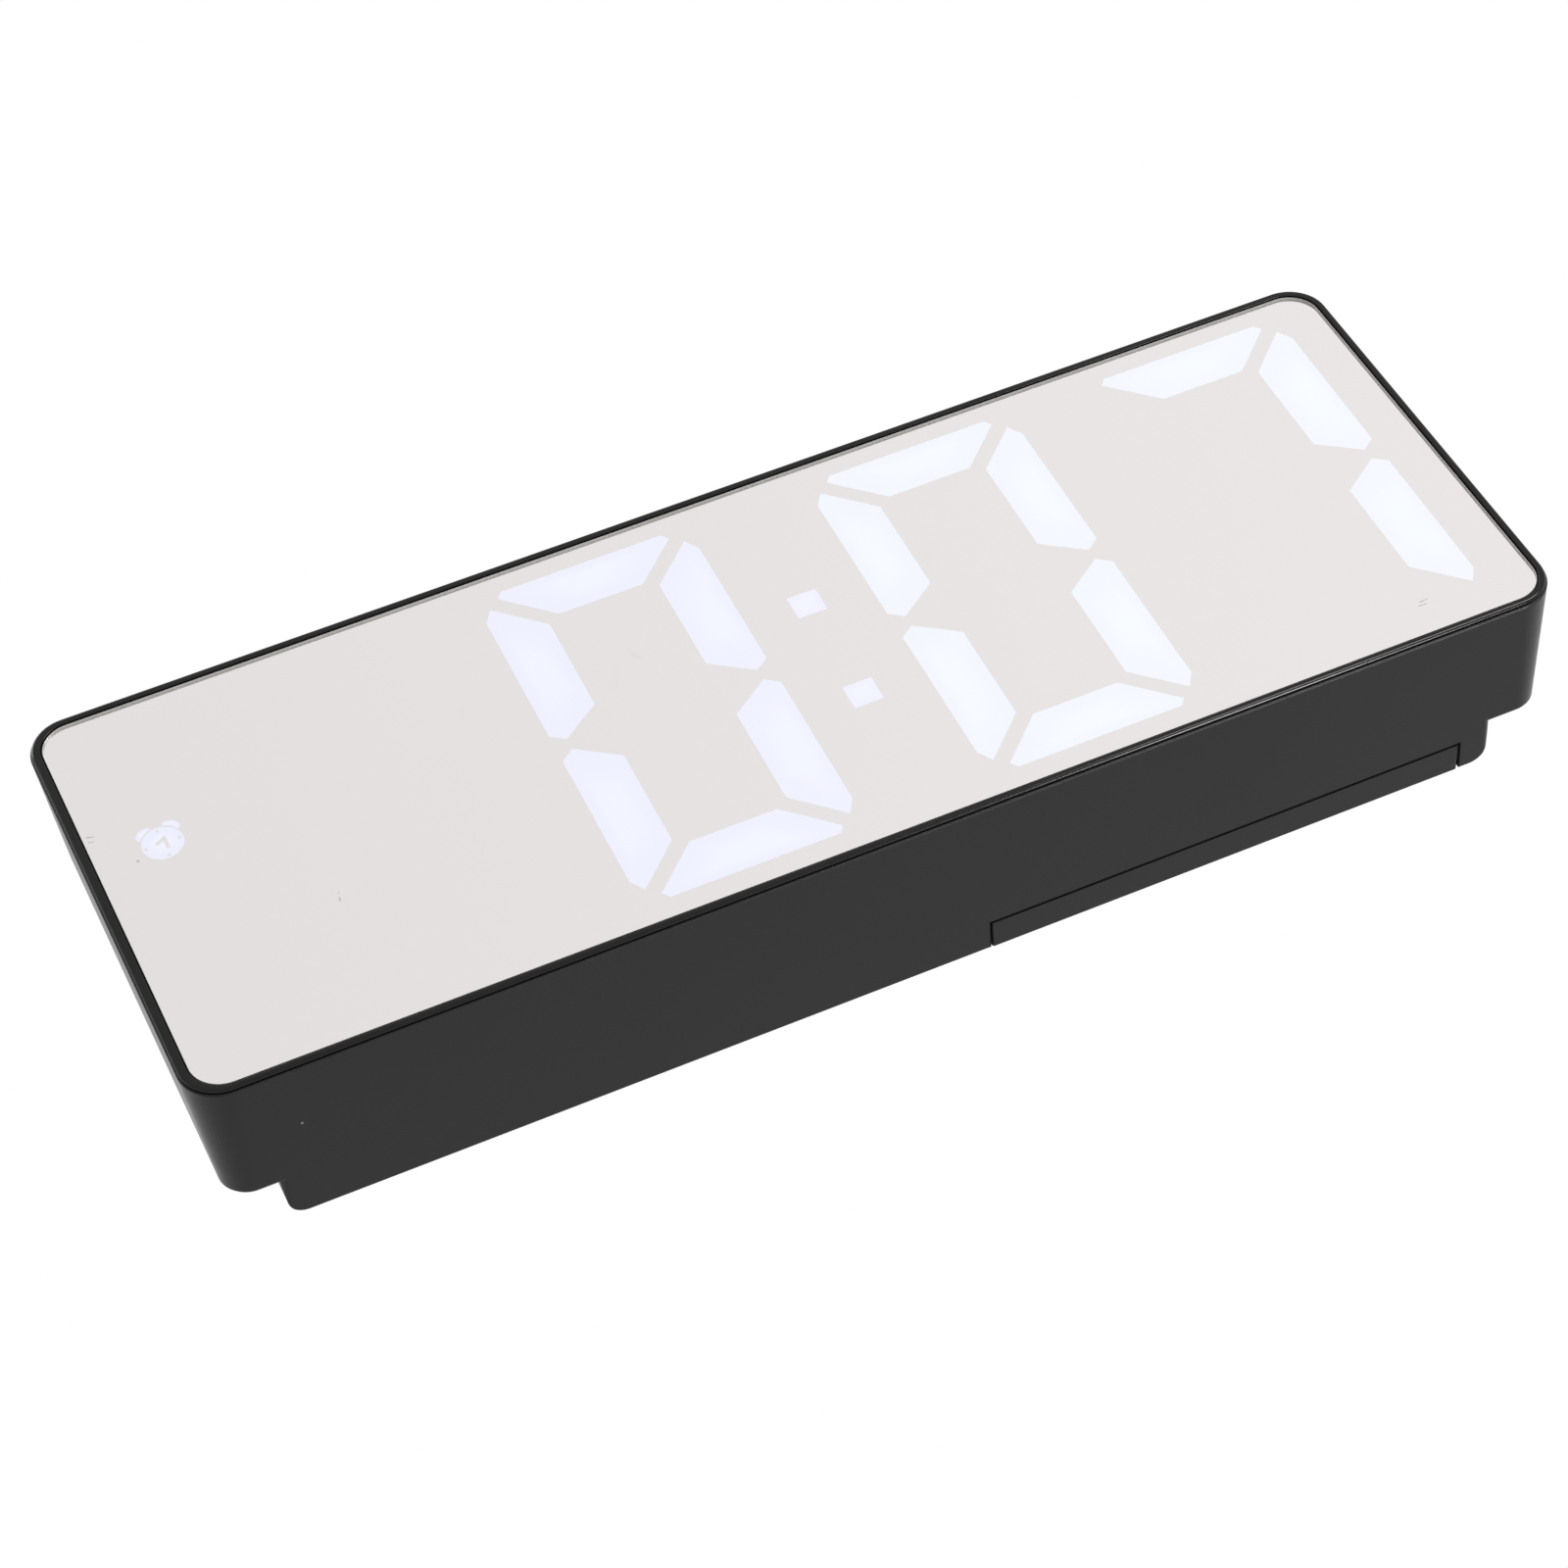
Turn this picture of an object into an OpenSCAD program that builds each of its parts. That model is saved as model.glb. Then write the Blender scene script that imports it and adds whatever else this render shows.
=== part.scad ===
// Desk clock with a lit seven-segment display behind a one-way mirror.
// The clock stands on its bottom wall. X runs to the right as seen from the front, Y runs to the back
// and Z runs up. The origin is on the table, in the middle of the width and of the depth.
// Inside the modules Y is the depth behind the face, and from_face() puts it in place.

/* [Case] */
// Width of the face to the left of the first digit
margin_left = 16.85; // [15.5:0.05:22]
// Width of the face to the right of the last digit
margin_right = 6.45; // [6:0.05:12]
// Height of the face below the digits
margin_bottom = 3.95; // [3.9:0.05:8]
// Height of the face above the digits
margin_top = 3.95; // [3.9:0.05:8]
// Depth from the face to the rear plate of the main body
body_depth = 16.9; // [14.5:0.1:18]
// Thickness of the moulded walls
wall = 1.6; // [1.4:0.1:1.8]
// Radius of the face's corners
corner_r = 4.8; // [4:0.1:6]
// How far the ends and the top draw in from the face to the rear plate
draft = 1.5; // [0.6:0.1:1.8]
// Rounding of the bezel's and the case's moulded edges
edge_r = 0.3; // [0.15:0.05:0.35]

/* [Bezel] */
// Width of the rim round the mirror
rim_w = 0.7; // [0.6:0.05:0.9]
// Thickness of the rim that shows in front of the parting groove
rim_t = 0.4; // [0.4:0.05:0.6]
// Width of the parting groove
groove_w = 0.15; // [0.1:0.05:0.25]
// How far the bezel's rim lies inside the case's outline
bezel_inset = 0.2; // [0.1:0.05:0.3]
// Thickness of the case's lip that laps over the bezel
lap_t = 0.45; // [0.4:0.05:0.5]
// Width of the ledge that carries the mirror
ledge_w = 2; // [1.8:0.1:2.2]
// Thickness of the ledge
ledge_t = 1; // [0.8:0.1:1.2]
// Width of a snap tab
tab_w = 6; // [4:0.5:7]
// Thickness of a snap tab
tab_t = 0.8; // [0.6:0.1:0.9]
// Length of a snap tab behind the ledge
tab_len = 4.4; // [4:0.1:4.8]
// How far a snap tab's hook stands out
hook_h = 0.4; // [0.3:0.05:0.5]

/* [Mirror] */
// Depth of the mirror's front below the rim
mirror_recess = 0.1; // [0.05:0.05:0.3]
// Thickness of the mirror panel
mirror_t = 0.9; // [0.8:0.05:1]
// Free gap between the mirror panel and the rim
mirror_gap = 0.2; // [0.1:0.05:0.25]
// Thickness of the adhesive tape behind the mirror panel
tape_t = 0.1; // [0.05:0.05:0.15]

/* [Digits] */
// Height of a digit
digit_h = 50.8; // [46:0.1:56]
// Width of a digit
digit_w = 25.9; // [24:0.1:28]
// Width of a segment
segment_w = 6.3; // [5:0.1:7]
// Gap between the mitred ends of two segments
segment_gap = 1.8; // [1.4:0.1:2.2]
// Lean of the digits to the right, in degrees
digit_lean = 0.9; // [0:0.1:2]
// Free width between the two digits of a pair
digit_gap = 9.2; // [8:0.1:12]
// Free width between the two pairs, where the colon is
colon_room = 14.7; // [12:0.1:18]
// Side of a colon dot
colon_dot = 3.5; // [3:0.1:4.5]
// Distance between the two colon dots
colon_pitch = 15.4; // [12:0.1:18]
// Radius of the alarm sign's dial
sign_r = 2.3; // [2:0.05:2.4]
// Distance from the alarm sign to the first digit
sign_off = 7.8; // [7:0.1:9]
// Height of the alarm sign above the middle of the digits
sign_rise = 6.8; // [0:0.1:12]

/* [Display] */
// Depth of the reflector block
reflector_depth = 6; // [5.6:0.1:6]
// Thickness of the light diffusers in the wells
diffuser_t = 1.2; // [0.8:0.1:1.5]
// Thickness of a circuit board
board_t = 1.2; // [1:0.1:1.2]
// Length of a light-emitting chip
chip_l = 3.5; // [2.8:0.1:4]
// Width of a light-emitting chip
chip_w = 2.8; // [2:0.1:3]
// Height of a light-emitting chip
chip_h = 0.8; // [0.6:0.1:1]

/* [Rear box] */
// Distance from the case's left side to the box
box_inset_left = 7.1; // [6.5:0.1:8]
// Distance from the case's right side to the box
box_inset_right = 8.1; // [7.4:0.1:9]
// Height of the box above the battery door
box_top = 7; // [6:0.5:8]
// Rounding of the box's upright rear corners
box_corner_r = 2.2; // [1:0.1:2.4]
// Rounding of the box's ends as seen from behind
box_end_r = 0.9; // [0.5:0.1:1.4]
// How far each box end draws in towards the back
box_draft = 0.35; // [0.1:0.05:0.6]

/* [Battery bay] */
// Length of a cell with its positive tip
cell_l = 44.5; // [44:0.1:45]
// Diameter of a cell
cell_d = 10.5; // [10:0.1:10.6]
// Gap between two cells
cell_gap = 0.4; // [0.3:0.1:0.9]
// Room between the display board and the bay's floor
bay_room = 1; // [0.5:0.05:2]
// Number of cells
cell_count = 3; // [3:1:3]
// Installed height of a contact spring
spring_h = 2.8; // [2.4:0.1:3.4]
// Diameter of the contact spring's wire
spring_wire = 0.6; // [0.4:0.05:0.6]
// Turns of a contact spring
spring_turns = 2; // [1:0.5:2]
// Thickness of the contact plates
contact_t = 0.4; // [0.3:0.05:0.5]

/* [Battery door] */
// How far the door reaches past the cells' bay, at each end
door_over = 4.95; // [4.5:0.05:6]
// How far the door reaches above the bay's top wall
door_rise = 3; // [2.6:0.1:4]
// Thickness of the door's panel
door_t = 1.6; // [1.4:0.1:1.8]
// Length of the lip that wraps round the bottom edge
lip_l = 3.9; // [3:0.05:4.2]
// Thickness of that lip
lip_t = 1.4; // [1.2:0.05:1.5]
// How far the door stands proud of the box
door_proud = 0.1; // [0.1:0.05:0.4]
// Distance from the door to the box's right end
door_margin = 4.1; // [3.4:0.1:4.4]
// Gap round the door
door_gap = 0.18; // [0.1:0.01:0.2]
// Width of a door tab
door_tab_w = 8; // [6:0.5:10]
// Distance between the two door tabs
door_tab_pitch = 36; // [28:1:38]

/* [Buttons] */
// Number of rear buttons
button_count = 5; // [5:1:5]
// Length of a button
button_l = 7.6; // [6:0.1:8.4]
// Width of a button
button_w = 3.8; // [3:0.1:5]
// Distance between two buttons
button_pitch = 12; // [11.6:0.1:12.5]
// Height of the button row above the table
button_z = 31; // [29:0.5:33]
// Distance from the box's left end to the first button
button_inset = 11; // [10.5:0.1:12]
// How far a button stands out of the back
button_proud = 0.9; // [0.8:0.05:1.2]
// Travel of a button
button_travel = 0.6; // [0.3:0.05:0.6]
// Clearance round a button
button_gap = 0.2; // [0.15:0.01:0.3]

/* [Sound and power] */
// Diameter of the buzzer
buzzer_d = 12; // [9:0.5:14]
// Height of the buzzer
buzzer_h = 6; // [4:0.5:6.5]
// Diameter of a sound hole
sound_hole_d = 1.3; // [1:0.1:1.8]
// Distance between the sound holes
sound_hole_pitch = 2.6; // [2.4:0.1:3.2]
// Width of the power socket's shell
socket_w = 7.8; // [7.4:0.1:8.2]
// Height of the power socket's shell
socket_h = 2.9; // [2.6:0.1:3.2]
// Height of the buzzer and the socket above the table
socket_z = 14; // [13:0.5:16]

/* [Hidden] */
$fn = 48;
// Segments of a circle inside a hull
hull_fn = 64;
// Thickness of the thin slices that a hull joins
slice = 0.01;
// Small overlap that fuses two solids of one moulding
fuse = 0.05;
// How far a cut reaches past the surface that it opens
past = 1;
// Clearance between two mouldings that are fitted together
fit_gap = 0.05;

// Depths behind the face, from the front to the back
cell_room = 0.1;
cell_clear = 0.2;
bay_wall = 1.1;
case_front = rim_t + groove_w;
front_edge = edge_r * 0.4;
edge_steps = 4;
function draft_at(d) = draft * (d - case_front) / (body_depth - case_front);
mirror_back = mirror_recess + mirror_t;
ledge_front = mirror_back + tape_t;
ledge_back = ledge_front + ledge_t;
lap_depth = ledge_back + fit_gap - case_front;
reflector_back = ledge_front + reflector_depth;
display_board_back = reflector_back + board_t;
floor_front = display_board_back + bay_room;
floor_back = floor_front + bay_wall;
cell_axis = floor_back + cell_room + cell_d / 2;
door_inner = cell_axis + cell_d / 2 + cell_clear;
door_back = door_inner + door_t;
box_depth = door_back - door_proud;
total_depth = box_depth + button_proud;
plate_front = body_depth - wall;
back_inner = box_depth - wall;

// Face outlines
digit_pitch = digit_w + digit_gap;
pair_w = digit_w + digit_pitch;
case_w = margin_left + 2 * pair_w + colon_room + margin_right;
case_h = margin_bottom + digit_h + margin_top;
mid_z = case_h / 2;
rim_r = corner_r - bezel_inset;
pocket_inset = bezel_inset + rim_w;
pocket_r = corner_r - pocket_inset;
skirt_inset = lap_t + fit_gap;
ledge_inset = pocket_inset + ledge_w;
reflector_gap = 0.2;
reflector_inset = ledge_inset + reflector_gap;
flange_w = 0.5;
flange_inset = ledge_inset - flange_w;
flange_t = 1.5;
flange_r = 2.5;
reflector_r = 1;
opening_r = reflector_r + reflector_gap;

// Digits: a pair on each side of the colon
digit_z = margin_bottom;
pair_left_x = margin_left - case_w / 2;
colon_x = pair_left_x + pair_w + colon_room / 2;
pair_right_x = colon_x + colon_room / 2;
digit_x = [pair_left_x, pair_left_x + digit_pitch, pair_right_x, pair_right_x + digit_pitch];
segment_count = 7;
blunt = 0.9;
side_tip_share = 0.62;
bar_tip_share = 0.75;
upper_tip_share = 0.7;
tip_side = segment_gap * side_tip_share;
tip_in = tip_side + segment_gap * bar_tip_share;
bar_shoulder = 0.7;
side_shoulder = 1.8;
waist_tip = 1.6;
waist_gap = 0.8;
waist_slope = 0.745;
waist_shoulder = 1.25;
middle_clear = 1.1;
well_throat = 0.5;
well_step = 0.92;
seat_gap = 0.05;
sign_x = pair_left_x - sign_off;
sign_z = digit_z + digit_h / 2 + sign_rise;
bell_turn = 45;
bell_out = 0.8;
bell_share = 0.54;

// Snap tabs stand in the bands without segments, above and below, and at the two ends
tab_x = [pair_left_x - tab_w, pair_left_x + pair_w / 2, colon_x, pair_right_x + pair_w / 2];
end_tab_w = 8;
tab_gap = 0.1;
hook_len = 1;
hook_play = 0.25;
hook_side_play = 0.3;
hook_end_play = 0.2;
tab_end = ledge_back + tab_len;
tab_in = wall + draft_at(tab_end) + tab_gap;
tab_low = wall + tab_gap;
tab_high = case_h - tab_in;
tab_side = case_w / 2 - tab_in;
tab_reach = tab_in + tab_t + 2 * tab_gap;
notch_len = reflector_depth + 2 * past;
notch_play = 0.5;
notch_mid = ledge_back - 2 * fuse + notch_len / 2;

// Light chips are centred in the wells, on the board's front
chip_front = reflector_back - chip_h;
chip_narrow = 0.75;
small_chip = 1.4;

// Clock chip and its crystal, behind the hours
package_l = 10;
package_w = 7.5;
package_h = 1.5;
pin_pitch = 1.27;
pin_t = 0.25;
pin_w = 0.4;
pin_l = 1.5;
pin_out = 0.6;
crystal_r = 1;
crystal_l = 6;
chip_x = tab_x[1] - package_l;
chip_z = mid_z - 6;

// Battery bay, cut into the rear box
cell_pitch = cell_d + cell_gap;
bay_len = cell_l + spring_h + 2 * contact_t + 2 * cell_room;
box_left = case_w / 2 - box_inset_left;
box_right = case_w / 2 - box_inset_right;
box_end_left = box_draft - box_left;
box_end_right = box_right - box_draft;
box_side_depth = box_depth - box_corner_r;
box_inner_r = 0.6;
door_w = bay_len + 2 * door_over;
door_x1 = box_right - door_margin;
door_x0 = door_x1 - door_w;
door_mid_x = (door_x0 + door_x1) / 2;
opening_x0 = door_x0 - door_gap;
opening_x1 = door_x1 + door_gap;
seat_depth = 1;
seat_w = 2.5;
seat_play = 0.15;
seat_outer = door_inner - seat_play;
seat_inner = seat_outer - seat_depth;
bay_x0 = door_mid_x - bay_len / 2;
bay_x1 = door_mid_x + bay_len / 2;
bay_margin = 0.45;
first_cell_z = wall + bay_margin + cell_d / 2;
function cell_z(i) = first_cell_z + i * cell_pitch;
rib_inset = 8;
rib_half = 2.2;
rib_h = 2.4;
tail_w = 2;
tail_play = 0.15;
tail_depth = floor_back + tail_play;
tail_gap = 0.1;
tail_out = 1.6;
function tail_end(way) = way < 0 ? bay_x0 - bay_wall - tail_out : bay_x1 + bay_wall + tail_out;
bay_top = cell_z(cell_count - 1) + cell_d / 2 + bay_margin + cell_room;
door_h = bay_top + bay_wall + door_rise;
box_h = door_h + box_top;
lip_front = door_back - lip_l;
seam_depth = lip_front - door_gap;
door_edge_r = 0.3;
door_top_gap = 0.1;
door_tab_rise = 2;
door_tab_t = 1.3;
door_tab_root = 1.6;
door_tab_play = 0.2;
tab_pocket_w = door_tab_w + 3 * door_tab_play;
tab_pocket_d = 0.8;
catch_reach = 0.8;
catch_root = 1;
catch_t = 0.6;
catch_play = 0.15;
grip_count = 5;
grip_r = 0.4;
grip_l = 22;
grip_pitch = 1.8;
grip_z = 4;

// Keys and the board behind them
button_x0 = -box_left + button_inset;
function button_x(i) = button_x0 + i * button_pitch;
flange_over = 1;
flange_play = 0.1;
cap_edge = 0.35;
button_flange_t = 0.8;
button_flange_back = back_inner - flange_play;
switch_side = 6;
switch_h = 3.5;
plunger_r = 1.7;
plunger_gap = 0.05;
plunger_spare = 0.4;
plunger_up = button_travel + plunger_spare;
plunger_in = 1.2;
plunger_well = 2;
key_room = 6.9;
key_board_back = back_inner - key_room;
key_board_front = key_board_back - board_t;
switch_back = key_board_back + switch_h;
plunger_back = switch_back + plunger_up;
key_board_x0 = wall + 2.6 - box_left;
key_board_x1 = button_x(button_count - 1) + 7.5;
key_board_z0 = wall + 3.4;
key_board_z1 = button_z + 10;
key_board_r = 1;
boss_r = 2.5;
boss_inset = 3.2;

// Screws and their holes
shank_r = 0.8;
pilot_r = 0.85;
screw_hole_r = 1.15;
head_r = 1.9;
head_h = 1.2;
drive_w = 0.35;
screw_bite = 4;

// Sound and power
buzzer_x = button_x(3) + 5;
buzzer_hole_r = 1.2;
buzzer_hole_d = 2;
socket_x = button_x(0) + 3;
socket_t = 0.3;
socket_r = 0.6;
socket_back = back_inner + 0.3;
socket_base = 1;
socket_play = 0.2;
sink_w = 1.8;
sink_d = 0.6;
sink_r = 1.6;
tongue_inset = 1.4;
tongue_t = 0.6;
tongue_rise = 0.1;
tongue_back = 0.8;

// Cells, their contacts and their leads
cell_edge = 0.6;
cell_shoulder = 0.7;
nub_r = 1.9;
nub_h = 0.8;
pad_margin = 0.6;
pad_cut = 1;
strip_half = 2;
wire_sides = 6;
spring_steps = 12;
spring_rings = spring_turns * spring_steps;
spring_foot_r = 3.6;
spring_tip_r = 1.9;
spring_bite = 0.35;
spring_end = 0.85;
lead_r = 0.5;
lead_sides = 8;
lead_aside = 2.6;
lead_up = 6;
lead_strip = 0.4;
lead_pull = 2.8;
ribbon_w = 8;
ribbon_t = 0.3;
ribbon_pad = 3;

// Posts of the case that hold the display board against the reflector
post_r = 2;
post_gap = 0.2;
post_clear = 1.1;
post_side_x = case_w / 2 - wall - draft - post_r - post_clear;
post_side_z = 14;
post_top_z = (box_h + case_h) / 2;
post_spots = [
    [-post_side_x, post_side_z], [post_side_x, post_side_z], [pair_left_x + post_r, post_top_z],
    [colon_x - digit_w / 2, post_top_z], [pair_right_x + pair_w - 4 * post_r, post_top_z]
];
screw_edge = 8;
display_screw_spots = [
    [pair_left_x - tab_w, screw_edge], [pair_left_x - tab_w, case_h - screw_edge], [tab_x[1], mid_z],
    [colon_x, mid_z], [colon_x, screw_edge], [tab_x[3], bay_top + bay_wall + screw_edge]
];

// Colours
case_black = [0.11, 0.11, 0.12];
mirror_grey = [0.86, 0.85, 0.84, 0.45];
light_white = [0.93, 0.95, 1];
dark_white = [0.55, 0.56, 0.58];
board_green = [0.07, 0.32, 0.17];
steel = [0.72, 0.73, 0.75];
tape_grey = [0.3, 0.3, 0.32];
well_black = [0.16, 0.16, 0.17];
cell_blue = [0.2, 0.21, 0.24];
package_black = [0.08, 0.08, 0.09];

// Moves a piece that is drawn by its depth behind the face into place
module from_face() translate([0, -total_depth / 2, 0]) children();

// Extrudes an outline of the face, drawn in width and height, from depth d0 to depth d1
module slab(d0, d1) translate([0, d1, 0]) rotate([90, 0, 0]) linear_extrude(d1 - d0) children();

// Round bar along the depth
module rod(x, z, r, d0, d1) translate([x, d1, z]) rotate([90, 0, 0]) cylinder(r = r, h = d1 - d0);

// Box given by its low and high corners
module block(low, high) translate(low) cube(high - low);

// Rectangle with round corners, from its low to its high corner
module rounded(x0, x1, z0, z1, r) {
    translate([x0 + r, z0]) square([x1 - x0 - 2 * r, z1 - z0]);
    translate([x0, z0 + r]) square([x1 - x0, z1 - z0 - 2 * r]);
    for (x = [x0 + r, x1 - r], z = [z0 + r, z1 - r]) translate([x, z]) circle(r);
}

// The face's outline drawn in by inset on all four sides
module face_outline(inset, r) rounded(-case_w / 2 + inset, case_w / 2 - inset, inset, case_h - inset, r);

// One thin slice of the case at depth d, drawn in by its draft and by a further inset
module case_slice(d, inset, base = 0) {
    in = draft_at(d) + inset;
    r = corner_r - in;
    slab(d, d + slice)
        rounded(-case_w / 2 + in, case_w / 2 - in, base, case_h - in, r, $fn = hull_fn);
}

// Points of one segment of a digit, leaning to the right with the digit
function lean(p) = [p[0] + (p[1] - digit_h / 2) * tan(digit_lean), p[1]];
function flip_z(points) = [for (p = points) [p[0], digit_h - p[1]]];
function flip_x(points) = [for (p = points) [digit_w - p[0], p[1]]];
bar_segment = [
    [tip_in + bar_shoulder, digit_h], [digit_w - tip_in - bar_shoulder, digit_h],
    [digit_w - tip_in, digit_h - blunt], [digit_w - tip_in - segment_w + blunt, digit_h - segment_w],
    [tip_in + segment_w - blunt, digit_h - segment_w], [tip_in, digit_h - blunt]
];
side_tip = digit_h - blunt - segment_gap * upper_tip_share;
waist_z = digit_h / 2 + waist_gap;
side_segment = [
    [tip_side, side_tip], [0, side_tip - side_shoulder],
    [0, waist_z + waist_shoulder], [waist_tip, waist_z],
    [segment_w, waist_z + (segment_w - waist_tip) * waist_slope],
    [segment_w, side_tip - segment_w + tip_side]
];
middle_half = segment_w / 2;
middle_tip = waist_tip + waist_gap + middle_clear;
middle_in = middle_tip + middle_half / waist_slope;
middle_segment = [
    [middle_tip, digit_h / 2], [middle_in, digit_h / 2 + middle_half],
    [digit_w - middle_in, digit_h / 2 + middle_half], [digit_w - middle_tip, digit_h / 2],
    [digit_w - middle_in, digit_h / 2 - middle_half], [middle_in, digit_h / 2 - middle_half]
];
segments = [
    bar_segment, flip_x(side_segment), flip_x(flip_z(side_segment)), flip_z(bar_segment),
    flip_z(side_segment), side_segment, middle_segment
];
function middle_of(points) = [
    (min([for (p = points) p[0]]) + max([for (p = points) p[0]])) / 2,
    (min([for (p = points) p[1]]) + max([for (p = points) p[1]])) / 2
];
function segment_middle(s) = lean(middle_of(segments[s]));

// Outline of segment s of the digit whose left side is at x, scaled about the segment's middle
module segment_outline(s, x, share = 1) {
    middle = segment_middle(s);
    translate([x + middle[0], digit_z + middle[1]]) scale(share)
        polygon([for (p = segments[s]) lean(p) - middle]);
}

// The well of one outline: a seat for the diffuser at its mouth, and a throat that narrows to the board
module well(x, z, seat_share) {
    translate([x, 0, z]) {
        slab(ledge_front - fuse, ledge_front + diffuser_t) scale(seat_share) children();
        translate([0, reflector_back + fuse, 0]) rotate([90, 0, 0])
            linear_extrude(reflector_depth - diffuser_t + 2 * fuse, scale = well_step / well_throat)
                scale(well_throat) children();
    }
}

// Dial and two bells of the alarm sign, about the middle of the dial
module sign_outline() {
    circle(sign_r);
    for (side = [-1, 1]) rotate(side * bell_turn)
        translate([0, sign_r * bell_out]) circle(sign_r * bell_share);
}

// Front frame with its rim, mirror pocket, ledge, skirt and snap tabs
module bezel() color(case_black) from_face() {
    difference() {
        union() {
            hull() {
                for (turn = [0:edge_steps]) rim_slice(turn * 90 / edge_steps);
                slab(edge_r, rim_t) face_outline(bezel_inset, rim_r, $fn = hull_fn);
            }
            slab(rim_t - fuse, ledge_back) face_outline(skirt_inset, corner_r - skirt_inset);
        }
        slab(-past, ledge_front) face_outline(pocket_inset, pocket_r);
        slab(0, ledge_back + past) face_outline(ledge_inset, opening_r);
    }
    for (x = tab_x) {
        snap_tab(x, tab_low, -1, tab_w);
        snap_tab(x, tab_high, 1, tab_w);
    }
    for (side = [-1, 1]) end_tab(side);
}

// Thin slice of the rim's rounded edge, at the given turn from its side to its front
module rim_slice(turn) {
    in = edge_r * (1 - cos(turn));
    d = edge_r * (1 - sin(turn));
    slab(d, d + slice) face_outline(bezel_inset + in, rim_r - in, $fn = hull_fn);
}

// Tab above or below: outer is its outer face's height, and out tells which way its hook points
module snap_tab(x, outer, out, w) {
    low = min(outer, outer - out * tab_t);
    block([x - w / 2, ledge_back - fuse, low], [x + w / 2, tab_end, low + tab_t]);
    translate([x - w / 2, 0, outer]) rotate([90, 0, 90]) linear_extrude(w)
        polygon([[tab_end - hook_len, 0], [tab_end, 0], [tab_end - hook_len, out * hook_h]]);
}

// Tab at one end of the bezel
module end_tab(side) {
    low = side > 0 ? tab_side - tab_t : -tab_side;
    end_z = mid_z - end_tab_w / 2;
    block([low, ledge_back - fuse, end_z], [low + tab_t, tab_end, end_z + end_tab_w]);
    translate([side * tab_side, 0, end_z]) linear_extrude(end_tab_w)
        polygon([[0, tab_end - hook_len], [0, tab_end], [side * hook_h, tab_end - hook_len]]);
}

// One-way mirror sheet that fills the bezel's pocket
module mirror_panel() color(mirror_grey) from_face()
    slab(mirror_recess, mirror_back) face_outline(pocket_inset + mirror_gap, pocket_r - mirror_gap);

// Frame of adhesive tape between the mirror and the ledge
module mirror_tape() color(tape_grey) from_face() difference() {
    slab(mirror_back, ledge_front) face_outline(pocket_inset + 2 * mirror_gap, pocket_r - 2 * mirror_gap);
    slab(mirror_back - past, ledge_front + past) face_outline(ledge_inset, opening_r);
}

// Block with one tapered light well for each segment, dot and sign
module reflector() color(well_black) from_face() difference() {
    union() {
        slab(ledge_front, reflector_back) face_outline(reflector_inset, reflector_r);
        slab(ledge_back, ledge_back + flange_t) face_outline(flange_inset, flange_r);
    }
    for (x = digit_x, s = [0:segment_count - 1]) {
        middle = segment_middle(s);
        well(x + middle[0], digit_z + middle[1], 1 + 2 * seat_gap / segment_w)
            polygon([for (p = segments[s]) lean(p) - middle]);
    }
    for (side = [-1, 1]) well(colon_dot_x(side), colon_dot_z(side), 1 + 2 * seat_gap / colon_dot)
        square(colon_dot, center = true);
    well(sign_x, sign_z, 1 + seat_gap / sign_r) sign_outline();
    for (x = tab_x, z = [0, case_h]) tab_notch(x, z);
    for (side = [-1, 1]) translate([side * case_w / 2, notch_mid, mid_z])
        cube([2 * tab_reach, notch_len, end_tab_w + 2 * notch_play], center = true);
    for (spot = display_screw_spots)
        rod(spot[0], spot[1], pilot_r, reflector_back - screw_bite, reflector_back + past);
}

// Room for a snap tab at the upper or lower edge of the reflector
module tab_notch(x, z) {
    translate([x, notch_mid, z]) cube([tab_w + 2 * notch_play, notch_len, 2 * tab_reach], center = true);
}

function colon_dot_z(side) = digit_z + digit_h / 2 + side * colon_pitch / 2;
function colon_dot_x(side) = colon_x + side * colon_pitch / 2 * tan(digit_lean);

// The seven light diffusers of one digit
module digit_diffusers(i, shade) color(shade) from_face()
    for (s = [0:segment_count - 1])
        slab(ledge_front, ledge_front + diffuser_t) segment_outline(s, digit_x[i]);

module hour_tens_diffusers() digit_diffusers(0, dark_white);
module hour_units_diffusers() digit_diffusers(1, light_white);
module minute_tens_diffusers() digit_diffusers(2, light_white);
module minute_units_diffusers() digit_diffusers(3, light_white);

// The two square dots between hours and minutes
module colon_diffusers() color(light_white) from_face() for (side = [-1, 1])
    slab(ledge_front, ledge_front + diffuser_t)
        translate([colon_dot_x(side), colon_dot_z(side)]) square(colon_dot, center = true);

// Alarm clock sign at the left of the face
module alarm_sign_diffuser() color(light_white) from_face()
    slab(ledge_front, ledge_front + diffuser_t) translate([sign_x, sign_z]) sign_outline();

// Circuit board behind the reflector
module display_board() color(board_green) from_face() difference() {
    slab(reflector_back, display_board_back) face_outline(reflector_inset, reflector_r);
    for (spot = display_screw_spots)
        rod(spot[0], spot[1], screw_hole_r, reflector_back - past, display_board_back + past);
}

// One light-emitting chip with its middle at x and z
module light_chip(x, z, long, wide)
    translate([x, (chip_front + reflector_back) / 2, z]) cube([long, chip_h, wide], center = true);

// Light-emitting chips, one for each well
module light_chips() color("lightyellow") from_face() {
    for (x = digit_x, s = [0:segment_count - 1]) {
        middle = segment_middle(s);
        lying = s % 3 == 0;
        narrow = chip_w * chip_narrow;
        light_chip(x + middle[0], digit_z + middle[1], lying ? chip_l : narrow, lying ? narrow : chip_l);
    }
    for (side = [-1, 1]) light_chip(colon_dot_x(side), colon_dot_z(side), small_chip, small_chip);
    light_chip(sign_x, sign_z, small_chip, small_chip);
}

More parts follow.
